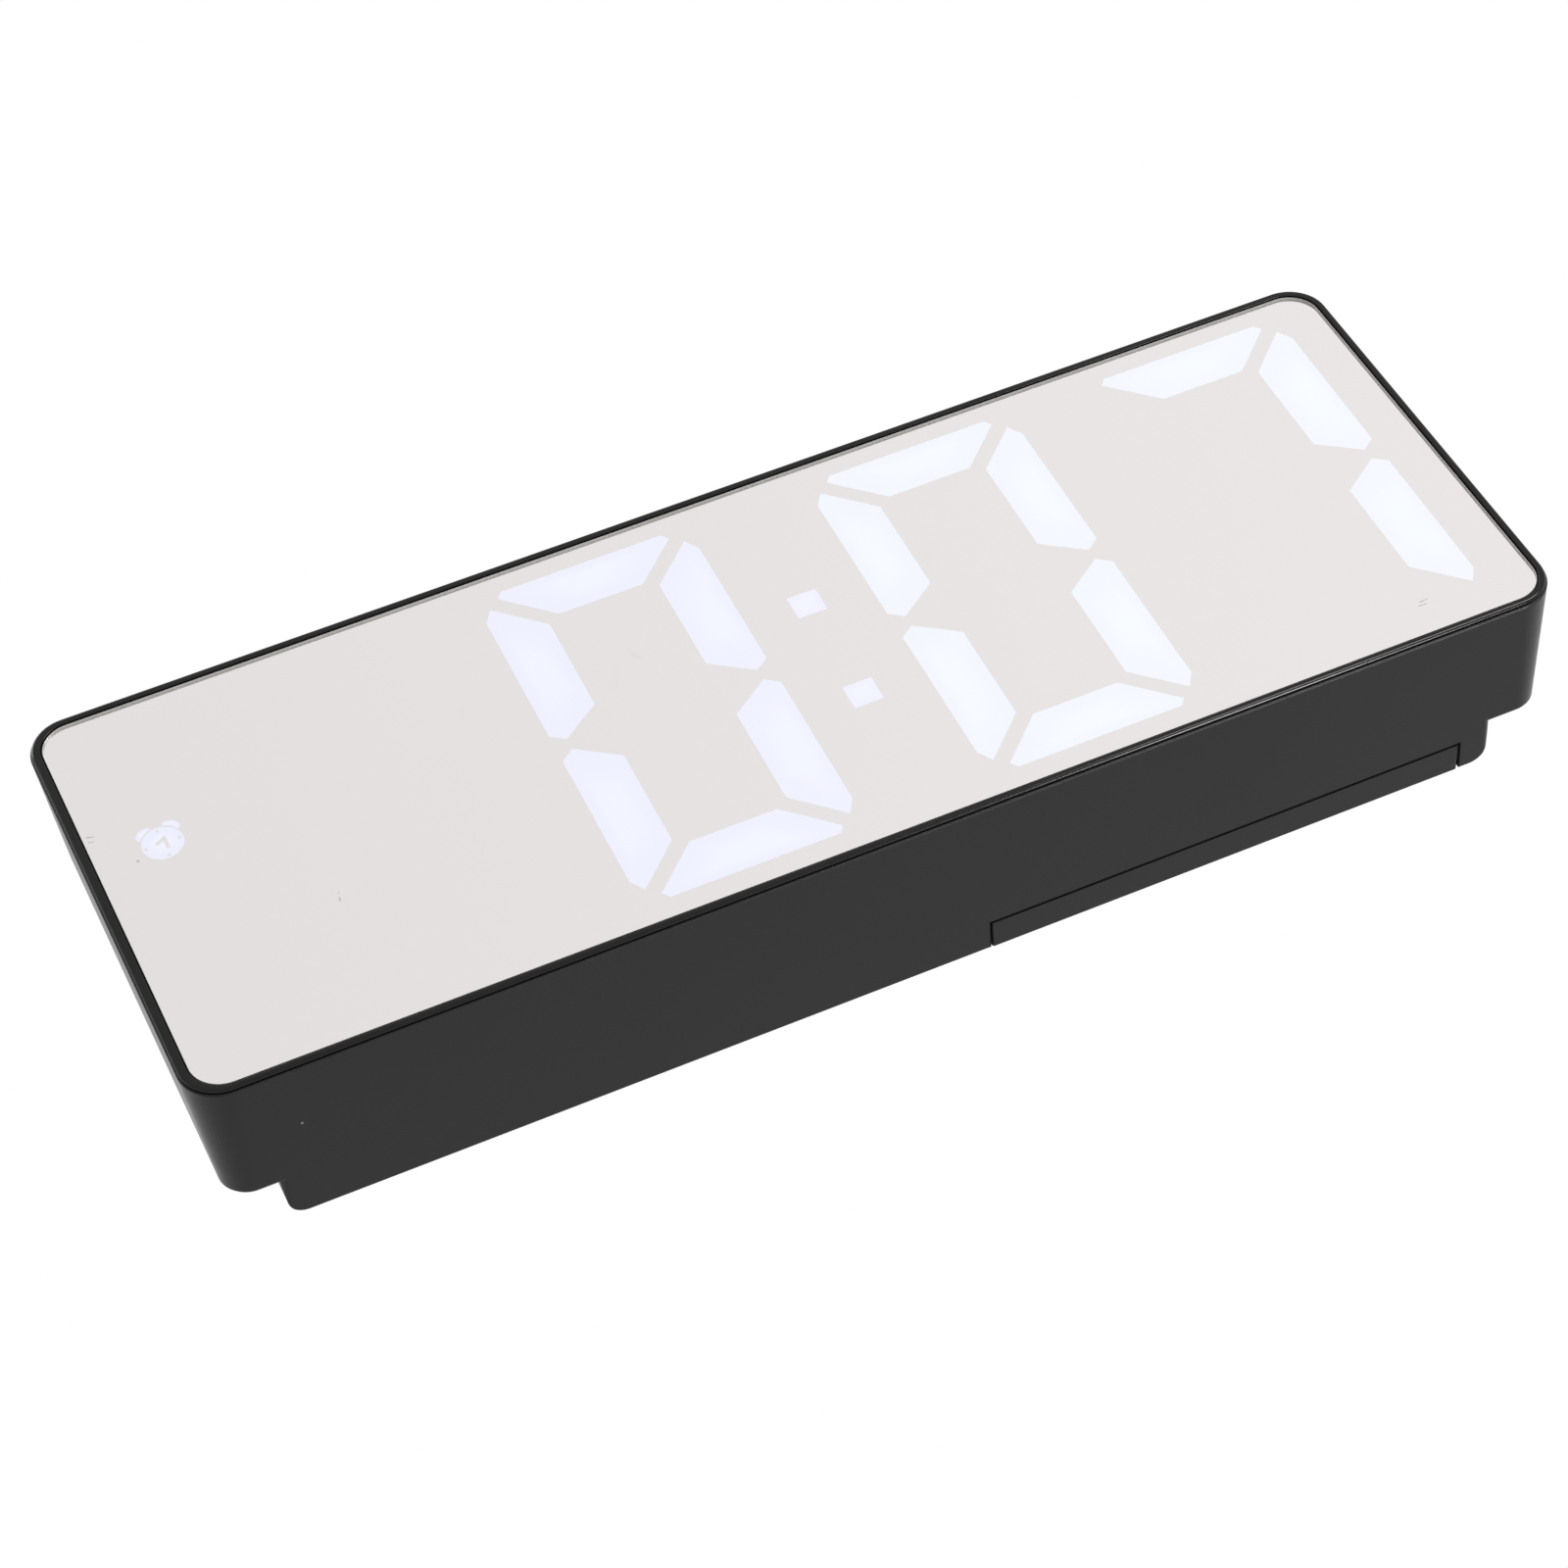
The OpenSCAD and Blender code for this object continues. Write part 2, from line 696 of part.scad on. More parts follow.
// Clock chip on the back of the display board
module clock_chip() color(package_black) from_face() {
    translate([chip_x, display_board_back, chip_z]) {
        block([-package_l / 2, 0, -package_w / 2], [package_l / 2, package_h, package_w / 2]);
        for (pin = [-3:3], side = [-1, 1])
            translate([pin * pin_pitch, pin_t / 2, side * (package_w / 2 + pin_out)])
                cube([pin_w, pin_t, pin_l], center = true);
    }
}

// Crystal can that keeps the time
module crystal() color(steel) from_face()
    translate([chip_x - package_l, display_board_back + crystal_r, chip_z - crystal_l])
        cylinder(r = crystal_r, h = crystal_l);

// Pan-head screw along the depth, its head's seat at depth d, pointing forwards or backwards
module screw(x, z, d, length, way) difference() {
    union() {
        rod(x, z, shank_r, min(d, d + way * length), max(d, d + way * length));
        rod(x, z, head_r, min(d, d - way * head_h), max(d, d - way * head_h));
    }
    for (turn = [0, 90]) translate([x, d - way * head_h, z]) rotate([0, turn, 0])
        cube([head_r, head_h, drive_w], center = true);
}

// Screws that hold the display board on the reflector
module display_screws() color(steel) from_face()
    for (spot = display_screw_spots)
        screw(spot[0], spot[1], display_board_back, board_t + screw_bite - past, -1);

// Rear housing: drafted tub, rear box, battery bay, key openings, bosses and posts
module rear_housing() color(case_black) from_face() {
    difference() {
        union() {
            difference() {
                union() {
                    tub_outside();
                    box_outside();
                }
                tub_inside();
                box_inside();
                hook_pockets();
            }
            bay_walls();
            door_seat();
            case_posts();
            key_bosses();
        }
        door_opening();
        for (i = [0:button_count - 1]) slab(back_inner - fuse, box_depth + past)
            translate([button_x(i), button_z]) key_outline(button_gap);
        sound_holes();
        socket_opening();
        tail_slots();
        for (spot = key_boss_spots())
            rod(spot[0], spot[1], pilot_r, key_board_back - past, back_inner - past);
    }
}

// Outside of the main tub, round-edged at the parting groove and at the rear plate
module tub_outside() hull() {
    case_slice(case_front, front_edge, front_edge);
    case_slice(case_front + front_edge, 0);
    case_slice(body_depth - edge_r, 0);
    case_slice(body_depth - slice, edge_r, edge_r / 2);
}

// Hollow of the main tub, with the thinner lip that laps over the bezel
module tub_inside() {
    slab(0, case_front + lap_depth) face_outline(lap_t, corner_r - lap_t);
    hull() {
        case_slice(case_front + lap_depth - fuse, wall, wall);
        case_slice(plate_front - slice, wall, wall);
    }
}

// Outside of the rear box: its plan crossed with its outline from behind
module box_outside() intersection() {
    linear_extrude(box_h) {
        polygon([
            [-box_left, plate_front + fuse], [box_right, plate_front + fuse],
            [box_right, body_depth], [box_end_right, box_side_depth],
            [box_end_right - box_corner_r, box_side_depth], [box_end_right - box_corner_r, box_depth],
            [box_end_left + box_corner_r, box_depth], [box_end_left + box_corner_r, box_side_depth],
            [box_end_left, box_side_depth], [-box_left, body_depth]
        ]);
        for (x = [box_end_left + box_corner_r, box_end_right - box_corner_r])
            translate([x, box_side_depth]) circle(box_corner_r);
    }
    slab(0, box_depth + past) rounded(-box_left, box_right, 0, box_h, box_end_r);
}

// Hollow of the rear box, open to the tub
module box_inside() slab(plate_front - fuse, back_inner)
    rounded(box_end_left + wall, box_end_right - wall, wall, box_h - wall, box_inner_r);

// Blind pockets in the tub's walls that take the hooks of the snap tabs
module hook_pockets() {
    reach = hook_h + hook_play;
    d0 = tab_end - hook_len - hook_end_play;
    d1 = tab_end + hook_end_play;
    half = tab_w / 2 + hook_side_play;
    end_half = end_tab_w / 2 + hook_side_play;
    for (x = tab_x) {
        block([x - half, d0, tab_low - reach], [x + half, d1, wall + past]);
        block([x - half, d0, tab_high - past], [x + half, d1, tab_high + reach]);
    }
    for (turn = [0, 1]) mirror([turn, 0, 0])
        block([tab_side - past, d0, mid_z - end_half], [tab_side + reach, d1, mid_z + end_half]);
}

// Floor, end walls, top wall and cell ribs of the battery bay
module bay_walls() {
    low = wall - fuse;
    block([bay_x0 - bay_wall, floor_front, low], [bay_x1 + bay_wall, floor_back, bay_top + bay_wall]);
    for (x = [bay_x0 - bay_wall, bay_x1])
        block([x, floor_front, low], [x + bay_wall, seat_inner, bay_top + bay_wall]);
    block([bay_x0 - bay_wall, floor_front, bay_top], [bay_x1 + bay_wall, seat_outer, bay_top + bay_wall]);
    for (i = [0.5:1:cell_count - 1]) cell_rib(cell_z(0) + i * cell_pitch);
}

// Rib between two cells, hollowed on both sides to their curve
module cell_rib(z) difference() {
    block([bay_x0 + rib_inset, floor_back - fuse, z - rib_half],
        [bay_x1 - rib_inset, floor_back + rib_h, z + rib_half]);
    for (side = [-1, 1]) translate([bay_x0, cell_axis, z + side * cell_pitch / 2]) rotate([0, 90, 0])
        cylinder(r = cell_d / 2 + cell_room, h = bay_len);
}

// Recessed seat of the door, along both sides and the top of the opening
module door_seat() {
    outer0 = opening_x0 - bay_wall;
    outer1 = opening_x1 + bay_wall;
    top = door_h + door_top_gap + bay_wall;
    for (x = [[outer0, opening_x0 + seat_w], [opening_x1 - seat_w, outer1]])
        block([x[0], seat_inner, wall - fuse], [x[1], seat_outer, top]);
    block([outer0, seat_inner, bay_top + bay_wall - fuse], [outer1, seat_outer, top]);
    for (x = [outer0, opening_x1])
        block([x, seat_inner, wall - fuse], [x + bay_wall, back_inner + fuse, top]);
    block([outer0, seat_inner, door_h + door_top_gap], [outer1, back_inner + fuse, top]);
}

// Opening for the door, for its lip and for its two tabs
module door_opening() {
    top = door_h + door_top_gap;
    half = tab_pocket_w / 2;
    block([opening_x0, seat_outer, wall - past], [opening_x1, box_depth + past, top]);
    block([opening_x0, seam_depth, -past], [opening_x1, box_depth + past, wall + fuse]);
    block([opening_x0 + seat_w, seat_inner, wall], [opening_x1 - seat_w, seat_outer + fuse, bay_top]);
    for (side = [-1, 1]) translate([door_mid_x + side * door_tab_pitch / 2, 0, 0]) {
        block([-half, seat_inner - past, bay_top + bay_wall], [half, back_inner, top + bay_wall + past]);
        block([-half, seat_outer - tab_pocket_d, bay_top - fuse], [half, seat_outer + fuse, top]);
    }
}

// Posts that press the display board home
module case_posts() for (spot = post_spots)
    rod(spot[0], spot[1], post_r, display_board_back + post_gap, plate_front + fuse);

// Corners of the key board where its screws are
function key_boss_spots() = [
    for (x = [key_board_x0 + boss_inset, key_board_x1 - boss_inset])
        for (z = [key_board_z0 + boss_inset, key_board_z1 - boss_inset]) [x, z]
];

module key_bosses() for (spot = key_boss_spots())
    rod(spot[0], spot[1], boss_r, key_board_back, back_inner + fuse);

// Outline of a button: a bar with round ends, grown by gap
module key_outline(gap) {
    r = button_w / 2 + gap;
    reach = (button_l - button_w) / 2;
    square([2 * reach, 2 * r], center = true);
    for (side = [-1, 1]) translate([side * reach, 0]) circle(r);
}

// Sound holes over the buzzer: one in the middle and six round it
module sound_holes() for (turn = [-1:5]) {
    out = turn < 0 ? 0 : sound_hole_pitch;
    rod(buzzer_x + out * cos(turn * 60), socket_z + out * sin(turn * 60), sound_hole_d / 2,
        back_inner - past, box_depth + past);
}

// Opening and countersink for the power plug
module socket_opening() translate([socket_x, 0, socket_z]) {
    slab(back_inner - past, box_depth + past) socket_outline(socket_play, socket_r + socket_play);
    slab(box_depth - sink_d, box_depth + past) socket_outline(sink_w, sink_r);
}

// Outline of the socket's shell, grown by gap
module socket_outline(gap, r)
    rounded(-socket_w / 2 - gap, socket_w / 2 + gap, -socket_h / 2 - gap, socket_h / 2 + gap, r);

// Door of the battery bay with its wrap-round lip, catches, tabs and grip grooves
module battery_door() color(case_black) from_face() {
    difference() {
        union() {
            slab(door_inner, door_back) rounded(door_x0, door_x1, 0, door_h, door_edge_r);
            block([door_x0, lip_front, 0], [door_x1, door_inner + fuse, lip_t]);
        }
        for (i = [0:grip_count - 1]) translate([door_mid_x, door_back, grip_z + i * grip_pitch])
            rotate([0, 90, 0]) cylinder(r = grip_r, h = grip_l, center = true);
    }
    for (side = [-1, 1]) translate([door_mid_x + side * door_tab_pitch / 2, 0, 0]) door_tab_and_catch();
}

// Tab that hooks behind the back wall above the door, and catch that snaps in at its lip
module door_tab_and_catch() {
    half = door_tab_w / 2;
    tab_back = back_inner - door_tab_play;
    tab_front = tab_back - door_tab_t;
    catch_low = wall + catch_play;
    catch_high = catch_low + catch_t;
    block([-half, tab_front, door_h - door_tab_root], [half, door_inner + fuse, door_h - door_top_gap]);
    block([-half, tab_front, door_h - door_tab_root], [half, tab_back, door_h + door_tab_rise]);
    block([-half, lip_front - catch_reach, catch_low], [half, lip_front + catch_root, catch_high]);
    block([-half, lip_front, lip_t - fuse], [half, lip_front + catch_root, catch_high]);
}

// One cell of the battery; way is 1 where its positive tip points right
module cell(i, way) color(cell_blue) from_face() {
    r = cell_d / 2;
    top = cell_l - nub_h;
    start = bay_x0 + contact_t + (way > 0 ? spring_h : 0) + cell_room;
    middle = start + cell_l / 2;
    translate([middle, cell_axis, cell_z(i)]) rotate([0, 90 * way, 0]) translate([0, 0, -cell_l / 2])
        rotate_extrude() polygon([
            [0, 0], [r - cell_edge, 0], [r, cell_edge], [r, top - cell_shoulder],
            [r - cell_shoulder, top], [nub_r, top], [nub_r, cell_l], [0, cell_l]
        ]);
}

module cell_1() cell(0, 1);
module cell_2() cell(1, -1);
module cell_3() cell(2, 1);

// Ring of points of the spring's wire, at turn angle a about the spring's axis
function wire_ring(a, r, rise) = [
    for (k = [0:wire_sides - 1])
        let (b = k * 360 / wire_sides, out = r + spring_wire / 2 * cos(b))
            [rise + spring_wire / 2 * sin(b), out * cos(a), out * sin(a)]
];

// Radius and rise of the spring at its ring i; its foot at x = 0 bites into the plate
function spring_r(i) = spring_foot_r + (spring_tip_r - spring_foot_r) * i / spring_rings;
function spring_rise(i) =
    spring_wire * spring_bite + (spring_h - spring_wire * spring_end) * i / spring_rings;
function spring_centre(i) = let (a = i * 360 / spring_steps)
    [spring_rise(i), spring_r(i) * cos(a), spring_r(i) * sin(a)];

// Least free gap between two turns of the spring
echo(spring_least_gap = min([for (i = [0:spring_rings - spring_steps])
    norm(spring_centre(i + spring_steps) - spring_centre(i)) - spring_wire]));

// Triangles of a wire with the given number of rings and sides
function wire_faces(rings, n) = concat(
    [for (i = [0:rings - 1], k = [0:n - 1]) each [
        [i * n + k, i * n + (k + 1) % n, (i + 1) * n + k],
        [i * n + (k + 1) % n, (i + 1) * n + (k + 1) % n, (i + 1) * n + k]
    ]],
    [for (k = [1:n - 2]) each [[0, k + 1, k], [rings * n, rings * n + k, rings * n + k + 1]]]
);

// Contact spring that narrows from its foot towards the cell
module contact_spring() {
    points = [for (i = [0:spring_rings])
        each wire_ring(i * 360 / spring_steps, spring_r(i), spring_rise(i))];
    polyhedron(points, wire_faces(spring_rings, wire_sides));
}

// Spring half or plate half of a contact at cell i; wall_side is -1 on the left wall and 1 on the right
module contact_pad(i, wall_side, sprung) {
    face = wall_side < 0 ? bay_x0 : bay_x1 - contact_t;
    half = cell_d / 2 - pad_margin;
    block([face, cell_axis - half, cell_z(i) - half],
        [face + contact_t, cell_axis + half - pad_cut, cell_z(i) + half]);
    if (sprung) translate([wall_side < 0 ? bay_x0 + contact_t : bay_x1 - contact_t, cell_axis, cell_z(i)])
        mirror([wall_side < 0 ? 0 : 1, 0, 0]) contact_spring();
}

// Strip that joins the two pads of a bridge contact
module contact_strip(i, wall_side) {
    face = wall_side < 0 ? bay_x0 : bay_x1 - contact_t;
    block([face, cell_axis - strip_half, cell_z(i)],
        [face + contact_t, cell_axis + strip_half, cell_z(i + 1)]);
}

// Tail of an end contact: down the end wall to the bay's floor, and out through the wall to its lead
module contact_tail(i, wall_side) {
    face = wall_side < 0 ? bay_x0 : bay_x1 - contact_t;
    end = tail_end(wall_side);
    block([face, tail_depth, cell_z(i) - tail_w / 2],
        [face + contact_t, cell_axis - cell_d / 2 + pad_cut, cell_z(i) + tail_w / 2]);
    block([min(end, face), tail_depth, cell_z(i) - tail_w / 2],
        [max(end, face + contact_t), tail_depth + contact_t, cell_z(i) + tail_w / 2]);
}

// Slots in the bay's end walls for the two tails
module tail_slots() for (spot = [[0, bay_x0 - bay_wall / 2], [cell_count - 1, bay_x1 + bay_wall / 2]])
    translate([spot[1], tail_depth + contact_t / 2, cell_z(spot[0])])
        cube([2 * bay_wall, contact_t + 2 * tail_gap, tail_w + 2 * tail_gap], center = true);

module end_contact_negative() color(steel) from_face() {
    contact_pad(0, -1, true);
    contact_tail(0, -1);
}

module end_contact_positive() color(steel) from_face() {
    contact_pad(cell_count - 1, 1, false);
    contact_tail(cell_count - 1, 1);
}

module bridge_contact_left() color(steel) from_face() {
    contact_pad(1, -1, false);
    contact_pad(2, -1, true);
    contact_strip(1, -1);
}

module bridge_contact_right() color(steel) from_face() {
    contact_pad(0, 1, false);
    contact_pad(1, 1, true);
    contact_strip(0, 1);
}

// Small circuit board behind the buttons
module key_board() color(board_green) from_face() difference() {
    slab(key_board_front, key_board_back)
        rounded(key_board_x0, key_board_x1, key_board_z0, key_board_z1, key_board_r);
    for (spot = key_boss_spots())
        rod(spot[0], spot[1], screw_hole_r, key_board_front - past, key_board_back + past);
}

// Key switches on that board, one under each button
module key_switches() color(well_black) from_face() for (i = [0:button_count - 1]) difference() {
    translate([button_x(i), 0, button_z]) block([-switch_side / 2, key_board_back, -switch_side / 2],
        [switch_side / 2, switch_back, switch_side / 2]);
    rod(button_x(i), button_z, plunger_r + plunger_gap, switch_back - plunger_well, switch_back + past);
}

// Screws that hold the key board on the housing's bosses
module key_board_screws() color(steel) from_face()
    for (spot = key_boss_spots()) screw(spot[0], spot[1], key_board_front, board_t + screw_bite, 1);

// Plunger of a key switch, which moves with its button
module plunger(i) color("ivory") from_face()
    rod(button_x(i), button_z, plunger_r, switch_back - plunger_in, plunger_back);

module plunger_1() plunger(0);
module plunger_2() plunger(1);
module plunger_3() plunger(2);
module plunger_4() plunger(3);
module plunger_5() plunger(4);

// Rear button: cap, retaining flange and stem
module button(i) color(case_black) from_face() {
    translate([button_x(i), 0, button_z]) {
        slab(button_flange_back - fuse, total_depth - cap_edge) key_outline(0);
        hull() {
            slab(total_depth - cap_edge - slice, total_depth - cap_edge) key_outline(0, $fn = hull_fn);
            slab(total_depth - slice, total_depth) key_outline(-cap_edge, $fn = hull_fn);
        }
        slab(button_flange_back - button_flange_t, button_flange_back) key_outline(flange_over);
    }
    rod(button_x(i), button_z, plunger_r, plunger_back, button_flange_back - button_flange_t + fuse);
}

module button_1() button(0);
module button_2() button(1);
module button_3() button(2);
module button_4() button(3);
module button_5() button(4);

// Buzzer can on the key board, with its sound opening towards the back
module buzzer() color(package_black) from_face() difference() {
    top = key_board_back + buzzer_h;
    rod(buzzer_x, socket_z, buzzer_d / 2, key_board_back, top);
    rod(buzzer_x, socket_z, buzzer_hole_r, top - buzzer_hole_d, top + past);
}

// Power socket: metal shell round a contact tongue
module power_socket() color(steel) from_face() translate([socket_x, 0, socket_z]) {
    base = key_board_back + socket_base;
    difference() {
        slab(key_board_back, socket_back) socket_outline(0, socket_r);
        slab(base, socket_back + past) socket_outline(-socket_t, socket_r - socket_t);
    }
    block([tongue_inset - socket_w / 2, base - fuse, tongue_rise],
        [socket_w / 2 - tongue_inset, socket_back - tongue_back, tongue_rise + tongue_t]);
}

// Flat ribbon that carries the keys and the power to the display board
module board_ribbon() color("gainsboro") from_face() {
    x0 = button_x(3) - ribbon_w;
    low = display_board_back;
    gap = key_board_front - display_board_back;
    bend_z = key_board_z1 - key_board_r;
    translate([x0, low + gap / 2, bend_z]) rotate([0, 90, 0]) linear_extrude(ribbon_w) difference() {
        circle(gap / 2);
        circle(gap / 2 - ribbon_t);
        translate([0, -gap]) square([gap, 2 * gap]);
    }
    for (d = [low, low + gap - ribbon_t])
        block([x0, d, bend_z - ribbon_pad], [x0 + ribbon_w, d + ribbon_t, bend_z + fuse]);
}

// Direction of a route at its point i
function route_way(route, i) =
    let (d = route[min(i + 1, len(route) - 1)] - route[max(i - 1, 0)]) d / norm(d);

// Ring of points round a lead's route at p, in the plane across direction n
function lead_ring(p, n, side) = let (
    u = cross(n, [1, side, 0]) / norm(cross(n, [1, side, 0])),
    v = cross(n, u),
    step = -360 / lead_sides
) [for (k = [0:lead_sides - 1]) p + lead_r * (u * cos(k * step) + v * sin(k * step))];

// Point at share t of the curve from a to d that leaves towards b and arrives from c
function curve(a, b, c, d, t) =
    a * pow(1 - t, 3) + 3 * b * t * pow(1 - t, 2) + 3 * c * pow(t, 2) * (1 - t) + d * pow(t, 3);

// Lead from an end contact's tail, out to the side, up and forward to the display board
module battery_lead(i, side) {
    start = [tail_end(side), tail_depth + contact_t / 2, cell_z(i)];
    finish = [tail_end(side) + side * lead_aside, display_board_back, cell_z(i) + lead_up];
    bend_start = start + [side * lead_strip, 0, 0];
    bend_end = finish + [0, lead_strip, 0];
    pull_start = start + [side * lead_pull, 0, 0];
    pull_end = finish + [0, lead_pull / 2, -lead_pull / 2];
    bend = [for (t = [0:0.1:1]) curve(bend_start, pull_start, pull_end, bend_end, t)];
    route = concat([start], bend, [finish]);
    points = [for (p = [0:len(route) - 1]) each lead_ring(route[p], route_way(route, p), side)];
    polyhedron(points, wire_faces(len(route) - 1, lead_sides));
}

module battery_lead_negative() color("black") from_face() battery_lead(0, -1);
module battery_lead_positive() color("firebrick") from_face() battery_lead(cell_count - 1, 1);

bezel();
mirror_panel();
mirror_tape();
reflector();
hour_tens_diffusers();
hour_units_diffusers();
minute_tens_diffusers();
minute_units_diffusers();
colon_diffusers();
alarm_sign_diffuser();
display_board();
light_chips();
clock_chip();
crystal();
display_screws();
rear_housing();
battery_door();
cell_1();
cell_2();
cell_3();
end_contact_negative();
end_contact_positive();
bridge_contact_left();
bridge_contact_right();
key_board();
key_switches();
key_board_screws();
buzzer();
power_socket();
button_1();
button_2();
button_3();
button_4();
button_5();
plunger_1();
plunger_2();
plunger_3();
plunger_4();
plunger_5();
board_ribbon();
battery_lead_negative();
battery_lead_positive();
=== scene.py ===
import bmesh
import bpy
from math import cos, pi, radians, sin, tan
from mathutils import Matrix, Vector


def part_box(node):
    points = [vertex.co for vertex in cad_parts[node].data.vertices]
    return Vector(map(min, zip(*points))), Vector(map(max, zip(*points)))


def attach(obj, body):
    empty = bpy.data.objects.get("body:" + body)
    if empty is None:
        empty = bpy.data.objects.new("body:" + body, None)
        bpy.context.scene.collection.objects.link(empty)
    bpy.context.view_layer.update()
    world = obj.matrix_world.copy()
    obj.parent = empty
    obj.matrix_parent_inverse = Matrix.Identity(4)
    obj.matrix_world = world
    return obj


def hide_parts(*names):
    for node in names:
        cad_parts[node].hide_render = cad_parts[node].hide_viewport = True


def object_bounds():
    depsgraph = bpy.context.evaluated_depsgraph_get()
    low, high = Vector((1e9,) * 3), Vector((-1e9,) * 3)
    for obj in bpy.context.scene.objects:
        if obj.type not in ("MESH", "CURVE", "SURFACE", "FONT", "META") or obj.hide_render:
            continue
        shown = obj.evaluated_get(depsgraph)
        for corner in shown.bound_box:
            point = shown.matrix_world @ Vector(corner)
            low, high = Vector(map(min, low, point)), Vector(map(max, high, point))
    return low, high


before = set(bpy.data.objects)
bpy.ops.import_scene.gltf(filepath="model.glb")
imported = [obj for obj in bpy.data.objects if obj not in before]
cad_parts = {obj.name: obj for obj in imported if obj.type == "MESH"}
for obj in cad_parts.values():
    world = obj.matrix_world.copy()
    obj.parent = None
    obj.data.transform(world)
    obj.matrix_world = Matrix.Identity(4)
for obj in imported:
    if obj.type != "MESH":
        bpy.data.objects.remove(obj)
cad_box = [list(corner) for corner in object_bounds()]
mm = 0.001


# Camera. It stands to the left of the clock and below its base, and looks up at the display and
# the bottom wall, turned on its own axis so that the clock runs up to the right.
camera_lens = 101.67
camera_sensor = 36.0
camera_spot = Vector((-120.8, -357.6, -290.17)) * mm
camera_aim = Vector((-8.28, -11.8, 12.86)) * mm
camera_roll = radians(-32.07)
camera_nearest = 0.01

look = (camera_aim - camera_spot).normalized()
level_right = look.cross(Vector((0, 0, 1))).normalized()
level_up = level_right.cross(look)
camera_right = level_right * cos(camera_roll) + level_up * sin(camera_roll)
camera_up = level_up * cos(camera_roll) - level_right * sin(camera_roll)
camera_data = bpy.data.cameras.new("photo_camera")
camera_data.lens = camera_lens
camera_data.sensor_width = camera_sensor
camera_data.clip_start = camera_nearest
camera = bpy.data.objects.new("photo_camera", camera_data)
bpy.context.scene.collection.objects.link(camera)
turn = camera.matrix_world.copy()
for row in range(3):
    turn[row][0] = camera_right[row]
    turn[row][1] = camera_up[row]
    turn[row][2] = -look[row]
    turn[row][3] = camera_spot[row]
camera.matrix_world = turn
bpy.context.scene.camera = camera
bpy.context.scene.view_settings.view_transform = "Standard"


# Studio. A pale table that shows only from above, in a white room, with four soft lamps. All other
# rays pass through the table, so that it doesn't shade the bottom wall, and the low lamp stays out of
# reflections, since from above it would hide the time in the mirror.
table_size = 6.0
table_drop = 0.05 * mm
table_colour = (0.86, 0.86, 0.85, 1)
table_near = 0.35
table_far = 1.1
room_light = 0.52
left_shine = 0.93
right_shine = 1.0
shine_start = 0.05
shine_end = 0.4


def add_mesh(name, points, faces):
    """A mesh object from points in metres and faces."""
    mesh = bpy.data.meshes.new(name)
    mesh.from_pydata([tuple(p) for p in points], [], faces)
    mesh.validate()
    mesh.update()
    piece = bpy.data.objects.new(name, mesh)
    bpy.context.scene.collection.objects.link(piece)
    return piece


def tools_for(tree):
    """Empties a node tree, and gives two helpers: one adds a node with its settings, one links two
    sockets."""
    tree.nodes.clear()

    def node(kind, **settings):
        made = tree.nodes.new(kind)
        for key, value in settings.items():
            socket = key.replace("_", " ")
            if socket in made.inputs:
                made.inputs[socket].default_value = value
            else:
                setattr(made, key, value)
        return made

    return node, tree.links.new


def new_material(name):
    """An empty node material with its two helpers."""
    material = bpy.data.materials.new(name)
    material.use_nodes = True
    return (material, *tools_for(material.node_tree))


half = table_size / 2
table = add_mesh("table_top", [(-half, -half, -table_drop), (half, -half, -table_drop),
                               (half, half, -table_drop), (-half, half, -table_drop)], [(0, 1, 2, 3)])
material, node, link = new_material("pale_table")
paint = node("ShaderNodeBsdfDiffuse", Color=table_colour)
clear = node("ShaderNodeBsdfTransparent")
ray = node("ShaderNodeLightPath")
side = node("ShaderNodeNewGeometry")
place = node("ShaderNodeTexCoord")
away = node("ShaderNodeVectorMath", operation="LENGTH")
fade = node("ShaderNodeMapRange", interpolation_type="SMOOTHSTEP")
fade.inputs["From Min"].default_value = table_far
fade.inputs["From Max"].default_value = table_near
above = node("ShaderNodeMath", operation="SUBTRACT")
above.inputs[0].default_value = 1
seen = node("ShaderNodeMath", operation="MULTIPLY")
shown = node("ShaderNodeMath", operation="MULTIPLY")
blend = node("ShaderNodeMixShader")
output = node("ShaderNodeOutputMaterial")
link(place.outputs["Object"], away.inputs[0])
link(away.outputs["Value"], fade.inputs["Value"])
link(side.outputs["Backfacing"], above.inputs[1])
link(ray.outputs["Is Camera Ray"], seen.inputs[0])
link(above.outputs[0], seen.inputs[1])
link(seen.outputs[0], shown.inputs[0])
link(fade.outputs["Result"], shown.inputs[1])
link(shown.outputs[0], blend.inputs[0])
link(clear.outputs[0], blend.inputs[1])
link(paint.outputs[0], blend.inputs[2])
link(blend.outputs[0], output.inputs[0])
table.data.materials.append(material)

world = bpy.data.worlds.new("white_room")
bpy.context.scene.world = world
world.use_nodes = True
node, link = tools_for(world.node_tree)
ray = node("ShaderNodeLightPath")
place = node("ShaderNodeTexCoord")
parts = node("ShaderNodeSeparateXYZ")
shine = node("ShaderNodeMapRange", interpolation_type="SMOOTHSTEP")
shine.inputs["From Min"].default_value = shine_start
shine.inputs["From Max"].default_value = shine_end
shine.inputs["To Min"].default_value = left_shine
shine.inputs["To Max"].default_value = right_shine
glossy = node("ShaderNodeMix")
seen = node("ShaderNodeMath", operation="MAXIMUM")
shown = node("ShaderNodeMix")
shown.inputs["B"].default_value = 1
background = node("ShaderNodeBackground", Color=(1, 1, 1, 1))
output = node("ShaderNodeOutputWorld")
glossy.inputs["A"].default_value = room_light
link(place.outputs["Generated"], parts.inputs[0])
link(parts.outputs["X"], shine.inputs["Value"])
link(ray.outputs["Is Glossy Ray"], glossy.inputs["Factor"])
